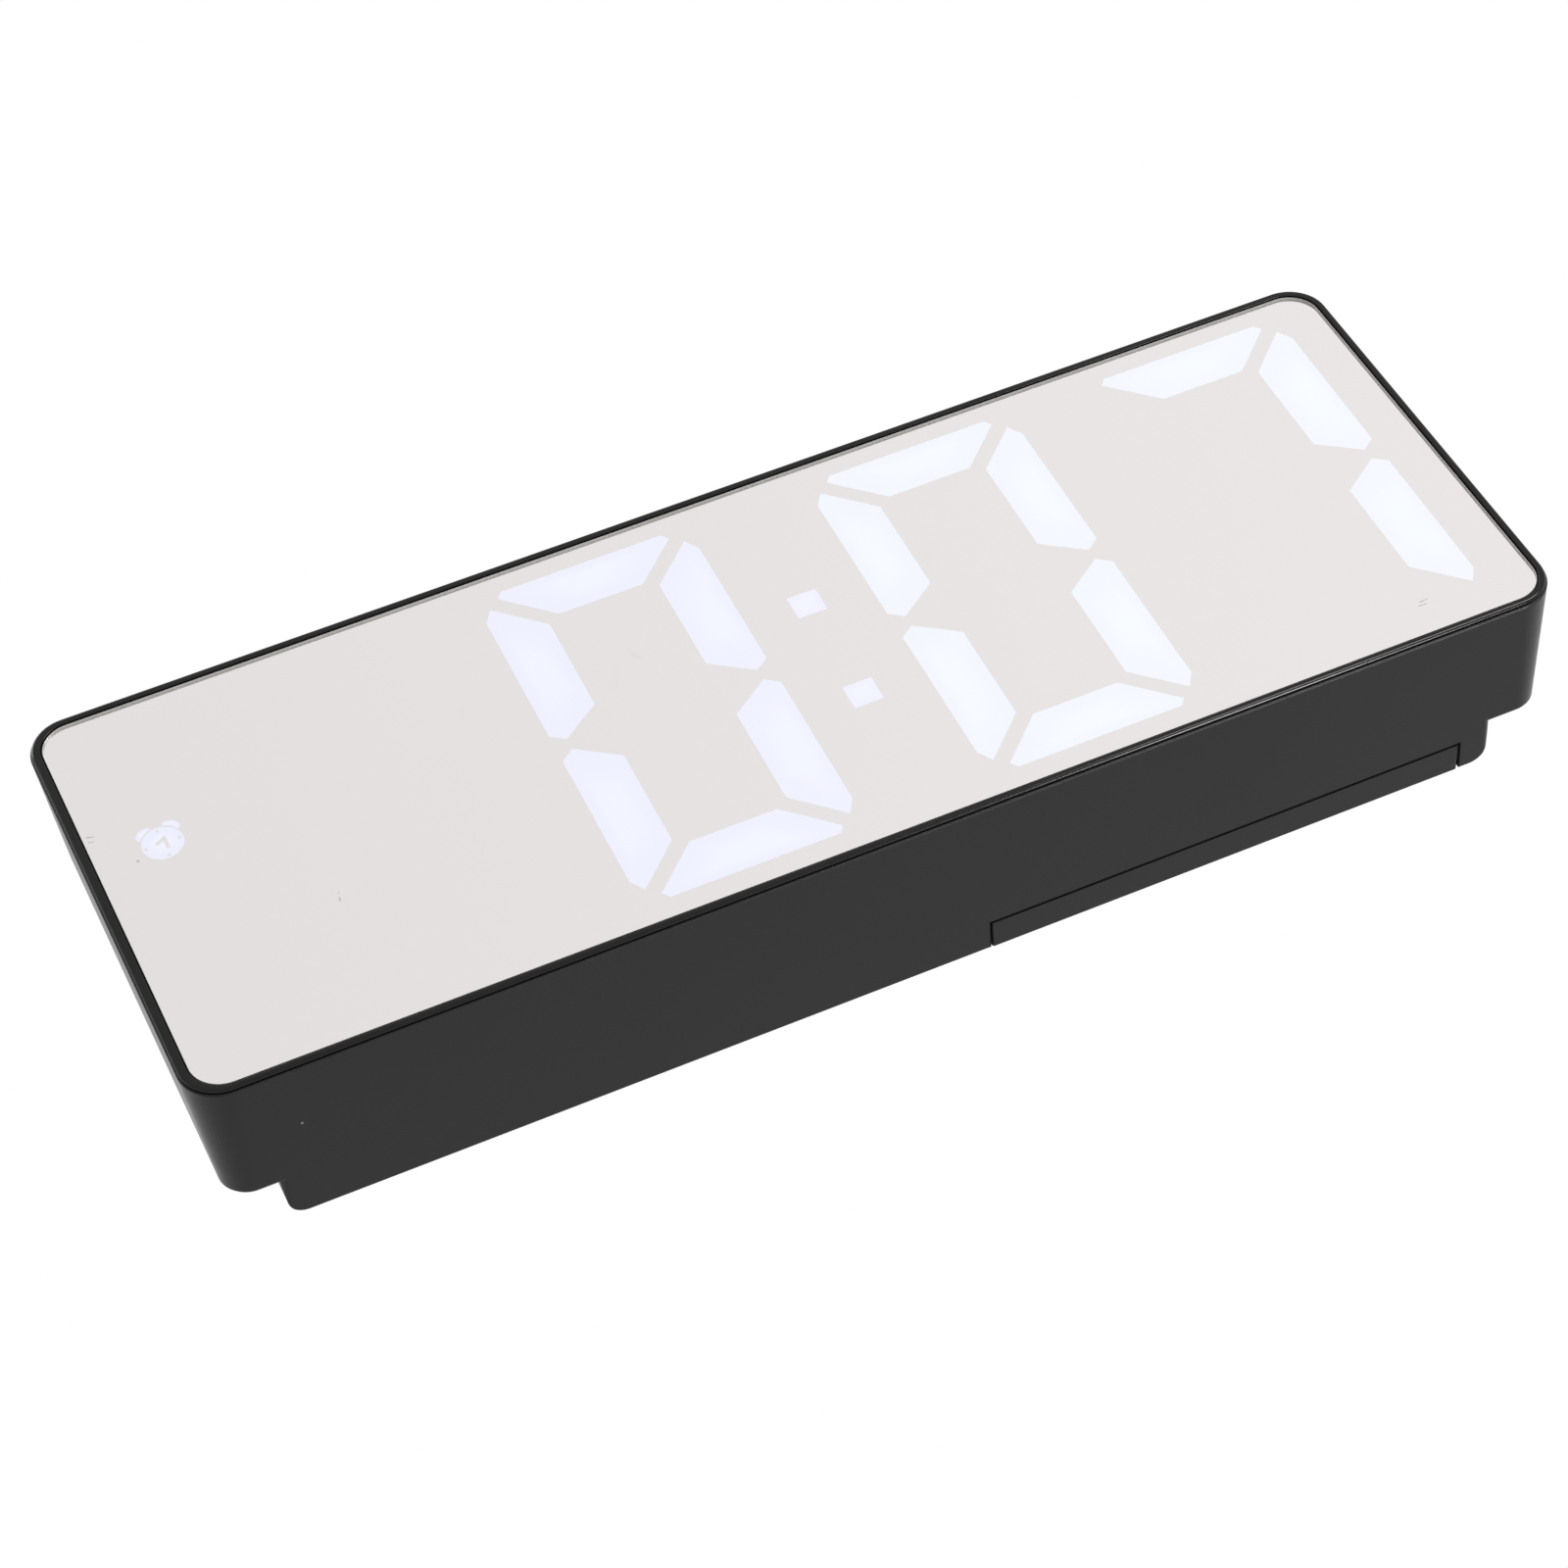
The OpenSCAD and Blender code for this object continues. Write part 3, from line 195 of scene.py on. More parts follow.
link(shine.outputs["Result"], glossy.inputs["B"])
link(ray.outputs["Is Camera Ray"], seen.inputs[0])
link(ray.outputs["Is Transmission Ray"], seen.inputs[1])
link(seen.outputs[0], shown.inputs["Factor"])
link(glossy.outputs["Result"], shown.inputs["A"])
link(shown.outputs["Result"], background.inputs["Strength"])
link(background.outputs[0], output.inputs[0])


def add_lamp(name, spot, aim, width, height, power):
    """A soft rectangular studio lamp at spot that shines towards aim."""
    data = bpy.data.lights.new(name, "AREA")
    data.shape = "RECTANGLE"
    data.size = width
    data.size_y = height
    data.energy = power
    lamp = bpy.data.objects.new(name, data)
    bpy.context.scene.collection.objects.link(lamp)
    lamp.location = spot
    lamp.rotation_euler = (Vector(aim) - Vector(spot)).to_track_quat("-Z", "Y").to_euler()
    return lamp


add_lamp("key_lamp", (0.55, -0.95, 0.12), (0.02, 0, 0.02), 0.4, 0.3, 7.0)
add_lamp("top_lamp", (-0.35, -0.2, 1.0), (0, 0, 0.03), 0.7, 0.7, 7.0)
low_lamp = add_lamp("low_lamp", (-0.15, -0.35, -0.85), (0, 0, 0.02), 0.6, 0.6, 2.5)
low_lamp.visible_glossy = False
add_lamp("edge_lamp", (0.46, -0.1, -1.05), (0, 0, 0.02), 0.5, 0.1, 8.5)


# Rear housing. One black moulded tub with a shallower box behind it, its outside eroded to a very
# fine even grain. The bay, the posts, the bosses and the openings are part of the moulding.
case_black = (0.006, 0.006, 0.0062, 1)
case_roughness = 0.3
case_gloss = 0.22
grain_size = 0.35 * mm
grain_depth = 0.012 * mm
edge_softness = 0.2 * mm
gap_shade = 0.13 * mm
patch_scale = 55.0
rub_scale = 900.0
rub_smooth = 0.9
rub_dull = 1.12
noise_low = 0.3
noise_high = 0.7
wear_start = 0.2
wear_full = 0.9
wear_lift = 0.05
wear_gain = 1.6
speck_scale = 260.0
speck_radius = 0.045
speck_grey = (0.14, 0.14, 0.14, 1)


def moulded(name, colour, roughness, gloss, grain, depth, edge=0.0, shade=0.12, worn=0.25, specks=0.0,
            seam_shade_box=None):
    """Moulded plastic: an eroded grain, patches of shine and colour, worn edges and a few specks of dust.
    The seam box, if given, is the low and high corner of a box; faces within gap_shade of its sides get
    painted shade, black and fully rough, for the two sides of a narrow seam."""
    material, node, link = new_material(name)
    place = node("ShaderNodeTexCoord")
    patches = node("ShaderNodeTexNoise", Scale=patch_scale, Detail=3.0)
    rub = node("ShaderNodeTexNoise", Scale=rub_scale, Detail=4.0)
    fine = node("ShaderNodeTexNoise", Scale=1 / grain, Detail=3.0, Roughness=0.6)
    tone = node("ShaderNodeMix", data_type="RGBA")
    rough = node("ShaderNodeMapRange")
    bump = node("ShaderNodeBump", Strength=0.6, Distance=depth)
    surface = node("ShaderNodeBsdfPrincipled", Roughness=roughness)
    surface.inputs["Specular IOR Level"].default_value = gloss
    output = node("ShaderNodeOutputMaterial")
    for texture in (patches, rub, fine):
        link(place.outputs["Object"], texture.inputs["Vector"])
    link(patches.outputs["Fac"], tone.inputs["Factor"])
    tone.inputs["A"].default_value = [c * (1 - shade) for c in colour[:3]] + [1]
    tone.inputs["B"].default_value = [c * (1 + shade) for c in colour[:3]] + [1]
    paint = tone.outputs["Result"]
    link(rub.outputs["Fac"], rough.inputs["Value"])
    rough.inputs["From Min"].default_value = noise_low
    rough.inputs["From Max"].default_value = noise_high
    rough.inputs["To Min"].default_value = roughness * rub_smooth
    rough.inputs["To Max"].default_value = roughness * rub_dull
    finish = rough.outputs["Result"]
    link(fine.outputs["Fac"], bump.inputs["Height"])
    if edge:
        soft = node("ShaderNodeBevel", Radius=edge, samples=4)
        link(soft.outputs["Normal"], bump.inputs["Normal"])
        true = node("ShaderNodeNewGeometry")
        apart = node("ShaderNodeVectorMath", operation="DISTANCE")
        wear = node("ShaderNodeMapRange")
        rubbed = node("ShaderNodeMix", data_type="RGBA")
        link(soft.outputs["Normal"], apart.inputs[0])
        link(true.outputs["True Normal"], apart.inputs[1])
        link(apart.outputs["Value"], wear.inputs["Value"])
        wear.inputs["From Min"].default_value = wear_start
        wear.inputs["From Max"].default_value = wear_full
        wear.inputs["To Max"].default_value = worn
        link(wear.outputs["Result"], rubbed.inputs["Factor"])
        link(paint, rubbed.inputs["A"])
        rubbed.inputs["B"].default_value = [wear_lift + c * wear_gain for c in colour[:3]] + [1]
        paint = rubbed.outputs["Result"]
    if specks:
        dust = node("ShaderNodeTexVoronoi", Scale=speck_scale)
        small = node("ShaderNodeMath", operation="LESS_THAN")
        small.inputs[1].default_value = speck_radius
        few = node("ShaderNodeSeparateColor")
        rare = node("ShaderNodeMath", operation="GREATER_THAN")
        rare.inputs[1].default_value = 1 - specks
        both = node("ShaderNodeMath", operation="MULTIPLY")
        dusty = node("ShaderNodeMix", data_type="RGBA")
        link(place.outputs["Object"], dust.inputs["Vector"])
        link(dust.outputs["Distance"], small.inputs[0])
        link(dust.outputs["Color"], few.inputs[0])
        link(few.outputs[0], rare.inputs[0])
        link(small.outputs[0], both.inputs[0])
        link(rare.outputs[0], both.inputs[1])
        link(both.outputs[0], dusty.inputs["Factor"])
        link(paint, dusty.inputs["A"])
        dusty.inputs["B"].default_value = speck_grey
        paint = dusty.outputs["Result"]
    # Painted shade: faces near the seam's box are painted black and fully rough, as the shadow inside the
    # seam.
    if seam_shade_box:
        centred = node("ShaderNodeVectorMath", operation="SUBTRACT")
        folded = node("ShaderNodeVectorMath", operation="ABSOLUTE")
        outside = node("ShaderNodeVectorMath", operation="SUBTRACT")
        parts = node("ShaderNodeSeparateXYZ")
        across = node("ShaderNodeMath", operation="MAXIMUM")
        most = node("ShaderNodeMath", operation="MAXIMUM")
        seam_shade_mask = node("ShaderNodeMath", operation="COMPARE")
        dark = node("ShaderNodeMix", data_type="RGBA")
        dull = node("ShaderNodeMix")
        centred.inputs[1].default_value = [(a + b) / 2 for a, b in zip(*seam_shade_box)]
        outside.inputs[1].default_value = [(b - a) / 2 for a, b in zip(*seam_shade_box)]
        seam_shade_mask.inputs[1].default_value = 0
        seam_shade_mask.inputs[2].default_value = gap_shade
        dark.inputs["B"].default_value = (0, 0, 0, 1)
        dull.inputs["B"].default_value = 1.0
        link(place.outputs["Object"], centred.inputs[0])
        link(centred.outputs["Vector"], folded.inputs[0])
        link(folded.outputs["Vector"], outside.inputs[0])
        link(outside.outputs["Vector"], parts.inputs[0])
        link(parts.outputs["X"], across.inputs[0])
        link(parts.outputs["Y"], across.inputs[1])
        link(across.outputs[0], most.inputs[0])
        link(parts.outputs["Z"], most.inputs[1])
        link(most.outputs[0], seam_shade_mask.inputs[0])
        link(seam_shade_mask.outputs[0], dark.inputs["Factor"])
        link(seam_shade_mask.outputs[0], dull.inputs["Factor"])
        link(paint, dark.inputs["A"])
        link(finish, dull.inputs["A"])
        paint = dark.outputs["Result"]
        finish = dull.outputs["Result"]
    link(paint, surface.inputs["Base Color"])
    link(finish, surface.inputs["Roughness"])
    link(bump.outputs["Normal"], surface.inputs["Normal"])
    link(surface.outputs[0], output.inputs[0])
    return material


def dress(names, material):
    """Gives CAD nodes a material in all their slots."""
    for name in names:
        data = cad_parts[name].data
        if not data.materials:
            data.materials.append(material)
        for index in range(len(data.materials)):
            data.materials[index] = material


door_low, door_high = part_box("battery_door")
door_clearance = 0.18 * mm
door_height = 39.0 * mm
lip_front = 7.1 * mm
# The seam's box reaches past the clock below and behind, so only its top, front and ends get the painted
# seam shade.
opening_low = (door_low.x - door_clearance, lip_front - door_clearance, -door_height)
opening_high = (door_high.x + door_clearance, 3 * door_height, door_height + door_clearance)
case_plastic = moulded("case_plastic", case_black, case_roughness, case_gloss, grain_size, grain_depth,
                       edge=edge_softness, worn=0.08, specks=0.03, seam_shade_box=(opening_low, opening_high))
dress(["rear_housing"], case_plastic)


# Key board with its switches. A glass-fibre board on posts behind the display, with a row of push
# switches whose ivory plungers stand under the keys, held by four small steel screws.
mask_green = (0.012, 0.10, 0.045, 1)
track_green = (0.03, 0.20, 0.085, 1)
track_pitch = 1.1 * mm
track_height = 0.04 * mm
# About the length in metres of one band of a wave texture at scale 1.
wave_unit = 0.31
zone_scale = 75.0
track_edge = 0.5
track_full = 0.7
pad_radius = 0.15
pad_edge = 0.17
pads_bare = 0.72
pad_scale = 210.0
pad_scatter = 0.55
weave_scale = 1600.0
mask_smooth = 0.3
mask_dull = 0.45
pad_tin = (0.62, 0.62, 0.60, 1)
switch_black = (0.022, 0.022, 0.024, 1)
plunger_ivory = (0.70, 0.66, 0.53, 1)
nickel = (0.62, 0.62, 0.60, 1)
drawing_scale = 1400.0
drawing_depth = 0.006 * mm
bloom_scale = 160.0
bloom_shade = 0.86
plating_smooth = 0.7
plating_dull = 1.4


def circuit_board(name):
    """Solder mask over copper tracks that run in patches of two directions, with tinned pads."""
    material, node, link = new_material(name)
    place = node("ShaderNodeTexCoord")
    zones = node("ShaderNodeTexVoronoi", Scale=zone_scale)
    choice = node("ShaderNodeSeparateColor")
    across = node("ShaderNodeTexWave", wave_type="BANDS", bands_direction="X", Scale=wave_unit / track_pitch)
    along = node("ShaderNodeTexWave", wave_type="BANDS", bands_direction="Z", Scale=wave_unit / track_pitch)
    turned = node("ShaderNodeMath", operation="GREATER_THAN")
    turned.inputs[1].default_value = 0.5
    tracks = node("ShaderNodeMix")
    sharp = node("ShaderNodeMapRange", interpolation_type="SMOOTHSTEP")
    sharp.inputs["From Min"].default_value = track_edge
    sharp.inputs["From Max"].default_value = track_full
    tone = node("ShaderNodeMix", data_type="RGBA")
    tone.inputs["A"].default_value = mask_green
    tone.inputs["B"].default_value = track_green
    pads = node("ShaderNodeTexVoronoi", Scale=pad_scale, Randomness=pad_scatter)
    round_pad = node("ShaderNodeMapRange")
    round_pad.inputs["From Min"].default_value = pad_edge
    round_pad.inputs["From Max"].default_value = pad_radius
    some = node("ShaderNodeSeparateColor")
    picked = node("ShaderNodeMath", operation="GREATER_THAN")
    picked.inputs[1].default_value = pads_bare
    pad = node("ShaderNodeMath", operation="MULTIPLY")
    tinned = node("ShaderNodeMix", data_type="RGBA")
    tinned.inputs["B"].default_value = pad_tin
    height = node("ShaderNodeMath", operation="ADD")
    bump = node("ShaderNodeBump", Strength=0.5, Distance=track_height)
    weave = node("ShaderNodeTexNoise", Scale=weave_scale, Detail=2.0)
    rough = node("ShaderNodeMapRange")
    rough.inputs["To Min"].default_value = mask_smooth
    rough.inputs["To Max"].default_value = mask_dull
    surface = node("ShaderNodeBsdfPrincipled")
    output = node("ShaderNodeOutputMaterial")
    for texture in (zones, across, along, pads, weave):
        link(place.outputs["Object"], texture.inputs["Vector"])
    link(zones.outputs["Color"], choice.inputs[0])
    link(choice.outputs[0], turned.inputs[0])
    link(turned.outputs[0], tracks.inputs["Factor"])
    link(across.outputs["Fac"], tracks.inputs["A"])
    link(along.outputs["Fac"], tracks.inputs["B"])
    link(tracks.outputs["Result"], sharp.inputs["Value"])
    link(sharp.outputs["Result"], tone.inputs["Factor"])
    link(pads.outputs["Distance"], round_pad.inputs["Value"])
    link(pads.outputs["Color"], some.inputs[0])
    link(some.outputs[1], picked.inputs[0])
    link(round_pad.outputs["Result"], pad.inputs[0])
    link(picked.outputs[0], pad.inputs[1])
    link(pad.outputs[0], tinned.inputs["Factor"])
    link(tone.outputs["Result"], tinned.inputs["A"])
    link(tinned.outputs["Result"], surface.inputs["Base Color"])
    link(pad.outputs[0], surface.inputs["Metallic"])
    link(sharp.outputs["Result"], height.inputs[0])
    link(pad.outputs[0], height.inputs[1])
    link(height.outputs[0], bump.inputs["Height"])
    link(bump.outputs["Normal"], surface.inputs["Normal"])
    link(weave.outputs["Fac"], rough.inputs["Value"])
    link(rough.outputs["Result"], surface.inputs["Roughness"])
    link(surface.outputs[0], output.inputs[0])
    return material


def plated(name, colour, roughness, stretch=(1, 1, 1)):
    """Bright plated metal with fine drawing marks, and a duller bloom in patches."""
    material, node, link = new_material(name)
    place = node("ShaderNodeTexCoord")
    drawn = node("ShaderNodeMapping", Scale=stretch)
    marks = node("ShaderNodeTexNoise", Scale=drawing_scale, Detail=4.0)
    bloom = node("ShaderNodeTexNoise", Scale=bloom_scale, Detail=3.0)
    tone = node("ShaderNodeMix", data_type="RGBA")
    tone.inputs["A"].default_value = [c * bloom_shade for c in colour[:3]] + [1]
    tone.inputs["B"].default_value = colour
    rough = node("ShaderNodeMapRange")
    rough.inputs["To Min"].default_value = roughness * plating_smooth
    rough.inputs["To Max"].default_value = roughness * plating_dull
    bump = node("ShaderNodeBump", Strength=0.4, Distance=drawing_depth)
    surface = node("ShaderNodeBsdfPrincipled", Metallic=1.0)
    output = node("ShaderNodeOutputMaterial")
    link(place.outputs["Object"], drawn.inputs["Vector"])
    link(drawn.outputs["Vector"], marks.inputs["Vector"])
    link(place.outputs["Object"], bloom.inputs["Vector"])
    link(bloom.outputs["Fac"], tone.inputs["Factor"])
    link(tone.outputs["Result"], surface.inputs["Base Color"])
    link(marks.outputs["Fac"], rough.inputs["Value"])
    link(rough.outputs["Result"], surface.inputs["Roughness"])
    link(marks.outputs["Fac"], bump.inputs["Height"])
    link(bump.outputs["Normal"], surface.inputs["Normal"])
    link(surface.outputs[0], output.inputs[0])
    return material


board = circuit_board("green_board")
plated_steel = plated("plated_steel", nickel, 0.22)
dress(["key_board"], board)
switch_plastic = moulded("switch_plastic", switch_black, 0.4, 0.4, 0.2 * mm, 0.006 * mm, edge=0.08 * mm)
dress(["key_switches"], switch_plastic)
dress(["key_board_screws"], plated_steel)
ivory = moulded("plunger_plastic", plunger_ivory, 0.42, 0.45, 0.2 * mm, 0.005 * mm, shade=0.05)
dress(["plunger_%d" % key for key in range(1, 6)], ivory)


# Keys. Five black push keys with domed edges in the back wall, moulded in a slightly greyer black than
# the housing's and worn a little at their edges, where fingers press them.
key_black = (0.02, 0.02, 0.021, 1)
key_plastic = moulded("button_plastic", key_black, 0.3, 0.4, 0.3 * mm, 0.006 * mm, edge=0.12 * mm, worn=0.35)
dress(["button_%d" % key for key in range(1, 6)], key_plastic)


# Buzzer and power socket. A round black sounder behind seven holes, and a drawn steel socket whose
# shell lies in a shallow well of the back wall.
sounder_black = (0.016, 0.016, 0.017, 1)
sounder = moulded("sounder_plastic", sounder_black, 0.45, 0.35, 0.25 * mm, 0.008 * mm, edge=0.1 * mm)
dress(["buzzer"], sounder)
shell_steel = (0.56, 0.56, 0.55, 1)
dress(["power_socket"], plated("socket_shell", shell_steel, 0.28, (1, 0.05, 1)))


# Battery contacts and leads. Two springs and plates of nickel-plated wire and strip at the ends of the
# bay, two bridges from cell to cell, and a black and a red lead that run forward to the board.
wire_nickel = (0.66, 0.65, 0.61, 1)
contact_metal = plated("contact_nickel", wire_nickel, 0.2, (1, 1, 0.08))
dress(["end_contact_negative", "end_contact_positive"], contact_metal)
dress(["bridge_contact_left", "bridge_contact_right"], contact_metal)
lead_black = (0.014, 0.014, 0.014, 1)
lead_red = (0.42, 0.016, 0.012, 1)
dress(["battery_lead_negative"], moulded("lead_black", lead_black, 0.4, 0.45, 0.3 * mm, 0.01 * mm))
dress(["battery_lead_positive"], moulded("lead_red", lead_red, 0.4, 0.45, 0.3 * mm, 0.01 * mm))


# Cells. Three small round cells in printed sleeves shrunk over their steel cans, with the sleeve's
# rolled rim at both ends, a raised cap at one end and a flat bottom at the other.
cell_sleeve = (0.030, 0.033, 0.042, 1)
cell_band = (0.36, 0.37, 0.38, 1)
cell_can = (0.70, 0.69, 0.66, 1)
rim_bulge = 0.12 * mm
rim_length = 0.7 * mm
rim_slope = 0.4 * mm
rim_crown = 0.1 * mm
rim_mouth = 0.3 * mm
band_length = 7.0 * mm
base_share = 0.72
base_step_share = 0.76
base_rise = 0.05 * mm
groove_depth = 0.12 * mm
groove_side = 0.6 * mm
cap_radius = 1.9 * mm
cap_length = 0.8 * mm
cap_root = 0.3 * mm
cap_bevel = 0.15 * mm
cap_drop = 0.2 * mm
cap_centre = 0.3 * mm
shoulder_depth = 0.25 * mm
shoulder_side = 0.7 * mm
turn_steps = 48
crisp_angle = radians(35)
cell_materials = [plated("cell_can", cell_can, 0.25),
                  moulded("cell_sleeve", cell_sleeve, 0.24, 0.5, 0.4 * mm, 0.004 * mm, shade=0.06),
                  moulded("cell_band", cell_band, 0.26, 0.5, 0.4 * mm, 0.004 * mm, shade=0.04)]


def tidy_normals(piece):
    """Turns all faces of a closed piece outwards."""
    mend = bmesh.new()
    mend.from_mesh(piece.data)
    bmesh.ops.recalc_face_normals(mend, faces=mend.faces)
    mend.to_mesh(piece.data)
    mend.free()


def sharpen(piece):
    """Smooth shading that keeps the sharper edges crisp."""
    piece.data.polygons.foreach_set("use_smooth", [True] * len(piece.data.polygons))
    piece.data.set_sharp_from_angle(angle=crisp_angle)


def turned(name, profile, start, way, slots):
    """A piece turned about a line along x, from (length, radius) points, with a material slot for each
    band between them; way is +1 or -1 along x."""
    count = turn_steps
    points = []
    faces = []
    owner = []
    for length, radius in profile:
        for k in range(count):
            angle = 2 * pi * k / count
            points.append((start.x + way * length, start.y + radius * cos(angle),
                           start.z + radius * sin(angle)))
    for i in range(len(profile) - 1):
        for k in range(count):
            n = (k + 1) % count
            faces.append((i * count + k, i * count + n, (i + 1) * count + n, (i + 1) * count + k))
            owner.append(slots[i])
    faces.append(tuple(range(count)))
    faces.append(tuple(range((len(profile) - 1) * count, len(profile) * count)))
    owner += [slots[0], slots[-1]]
    piece = add_mesh(name, points, faces)
    piece.data.polygons.foreach_set("material_index", owner)
    tidy_normals(piece)
    sharpen(piece)
    return piece


for index, way in ((1, 1), (2, -1), (3, 1)):
    low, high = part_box("cell_%d" % index)
    r = (high.z - low.z) / 2
    whole = high.x - low.x
    body = whole - cap_length
    can = r - rim_bulge
    profile = [(0, can * base_share), (base_rise, can * base_step_share),
               (groove_depth, can - groove_side), (0, can - rim_mouth),
               (rim_crown, r), (rim_length, r), (rim_length + rim_slope, can),
               (body - band_length, can), (body - rim_length - rim_slope, can), (body - rim_length, r),
               (body - rim_crown, r), (body, can - rim_mouth), (body - shoulder_depth, can - shoulder_side),
               (body - shoulder_depth, cap_radius + cap_root), (body, cap_radius),
               (whole - cap_bevel, cap_radius), (whole, cap_radius - cap_drop), (whole, cap_centre)]
    slots = [0, 0, 1, 1, 1, 1, 1, 2, 2, 2, 2, 2, 0, 0, 0, 0, 0]
    start = Vector((low.x if way > 0 else high.x, (low.y + high.y) / 2, (low.z + high.z) / 2))
    cell = turned("cell_%d_in_sleeve" % index, profile, start, way, slots)
    for finish in cell_materials:
        cell.data.materials.append(finish)
    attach(cell, "case")
    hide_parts("cell_%d" % index)


# Battery door. A thin black moulded panel with five grip grooves, whose lip wraps under the rear
# edge of the clock. It shares the housing's plastic, from its own mould.
# Painted shade: the door's faces at its ends, its top and its lip's front are painted black, as the shade in
# the seam around it.
side_low = (door_low.x, lip_front, -door_height)
side_high = (door_high.x, 3 * door_height, door_height)
door_roughness = case_roughness * 1.04
door_grain = grain_size * 1.1
door_softness = edge_softness * 0.8
door_plastic = moulded("door_plastic", case_black, door_roughness, case_gloss, door_grain, grain_depth,
                       edge=door_softness, worn=0.06, specks=0.02, seam_shade_box=(side_low, side_high))
dress(["battery_door"], door_plastic)


# Display board. A glass-fibre board that carries one bare light chip under each lit shape, the clock
# chip and its crystal, screwed to the reflector and joined to the key board by a flat ribbon.
gel_cream = (0.80, 0.72, 0.40, 1)
dress(["display_board"], board)
dress(["light_chips"], moulded("light_chip", gel_cream, 0.25, 0.5, 0.5 * mm, 0.01 * mm, shade=0.08))
chip_black = (0.018, 0.018, 0.019, 1)
dress(["clock_chip"], moulded("clock_chip", chip_black, 0.55, 0.3, 0.12 * mm, 0.01 * mm, edge=0.06 * mm))
dress(["crystal"], plated("crystal_can", nickel, 0.3, (1, 1, 0.05)))
dress(["display_screws"], plated_steel)

ribbon_grey = (0.48, 0.48, 0.49, 1)
ribbon_wires = 6
groove_shade = 0.72
ribbon_ridge = 0.15 * mm
ribbon_grain = 700.0
ribbon_smooth = 0.36
ribbon_dull = 0.5
low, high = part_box("board_ribbon")
material, node, link = new_material("ribbon_cable")
place = node("ShaderNodeTexCoord")
ridges = node("ShaderNodeTexWave", wave_type="BANDS", bands_direction="X")
ridges.inputs["Scale"].default_value = ribbon_wires * pi / 10 / (high.x - low.x)
fine = node("ShaderNodeTexNoise", Scale=ribbon_grain, Detail=3.0)
tone = node("ShaderNodeMix", data_type="RGBA")
tone.inputs["A"].default_value = [c * groove_shade for c in ribbon_grey[:3]] + [1]
tone.inputs["B"].default_value = ribbon_grey
rough = node("ShaderNodeMapRange")
rough.inputs["To Min"].default_value = ribbon_smooth
rough.inputs["To Max"].default_value = ribbon_dull
bump = node("ShaderNodeBump", Strength=0.7, Distance=ribbon_ridge)
surface = node("ShaderNodeBsdfPrincipled")
output = node("ShaderNodeOutputMaterial")
link(place.outputs["Object"], ridges.inputs["Vector"])
link(place.outputs["Object"], fine.inputs["Vector"])
link(ridges.outputs["Fac"], tone.inputs["Factor"])
link(ridges.outputs["Fac"], bump.inputs["Height"])
link(tone.outputs["Result"], surface.inputs["Base Color"])
link(fine.outputs["Fac"], rough.inputs["Value"])
link(rough.outputs["Result"], surface.inputs["Roughness"])
link(bump.outputs["Normal"], surface.inputs["Normal"])
link(surface.outputs[0], output.inputs[0])
dress(["board_ribbon"], material)


# Reflector. A deep black moulded block with a tapered well round each light chip, which keeps the
# light of one segment out of the next.
reflector_black = (0.008, 0.008, 0.0085, 1)
reflector_plastic = moulded("reflector_plastic", reflector_black, 0.5, 0.2, 0.4 * mm, 0.01 * mm,
                            edge=0.06 * mm)
dress(["reflector"], reflector_plastic)


# Light diffusers. Milky inserts in the mouths of the reflector's wells, one for each segment of the
# digits, with painted flanks. Those of the shown time are lit from behind and stand right behind the
# mirror's film, so that at a slant the time still sits on the mirror.
digit_names = ("hour_tens_diffusers", "hour_units_diffusers",
               "minute_tens_diffusers", "minute_units_diffusers")
shown_time = ("", "abcdef", "abcdef", "abc")
segment_width = 6.3 * mm
segment_gap = 1.8 * mm
blunt = 0.9 * mm
tip_side_share = 0.62
tip_in_share = 0.75
top_share = 0.7
tip_side = segment_gap * tip_side_share
tip_in = tip_side + segment_gap * tip_in_share
bar_corner = 0.7 * mm
flank_corner = 1.8 * mm
waist_corner = 1.25 * mm
middle_inset = 1.1 * mm
waist_tip = 1.6 * mm
waist_gap = 0.8 * mm
waist_slope = 0.745
digit_height = 50.8 * mm
digit_width = 25.9 * mm
digit_lean = radians(0.9)
glow_front = 0.4 * mm
well_front = 1.12 * mm
glow_back = 2.3 * mm
cool_edge = (0.32, 0.47, 0.97, 1)
cool_middle = (0.42, 0.60, 1.0, 1)
cool_strength = 1.75
white_edge = (0.44, 0.68, 0.97, 1)
white_middle = (0.56, 0.82, 1.0, 1)
white_strength = 1.55
unlit_grey = (0.05, 0.05, 0.054, 1)
flank_black = (0.01, 0.01, 0.01, 1)
milk_grey = (0.05, 0.05, 0.05, 1)
milk_smooth = 0.4
milk_dull = 0.6
milk_ripple = 0.01 * mm
cloud_scale = 240.0
cloud_dim = 0.97
cloud_bright = 1.04
outer_ring = 0.62
outer_light = 0.35
inner_ring = 0.3
inner_light = 0.85
face_y = cad_box[0][1]


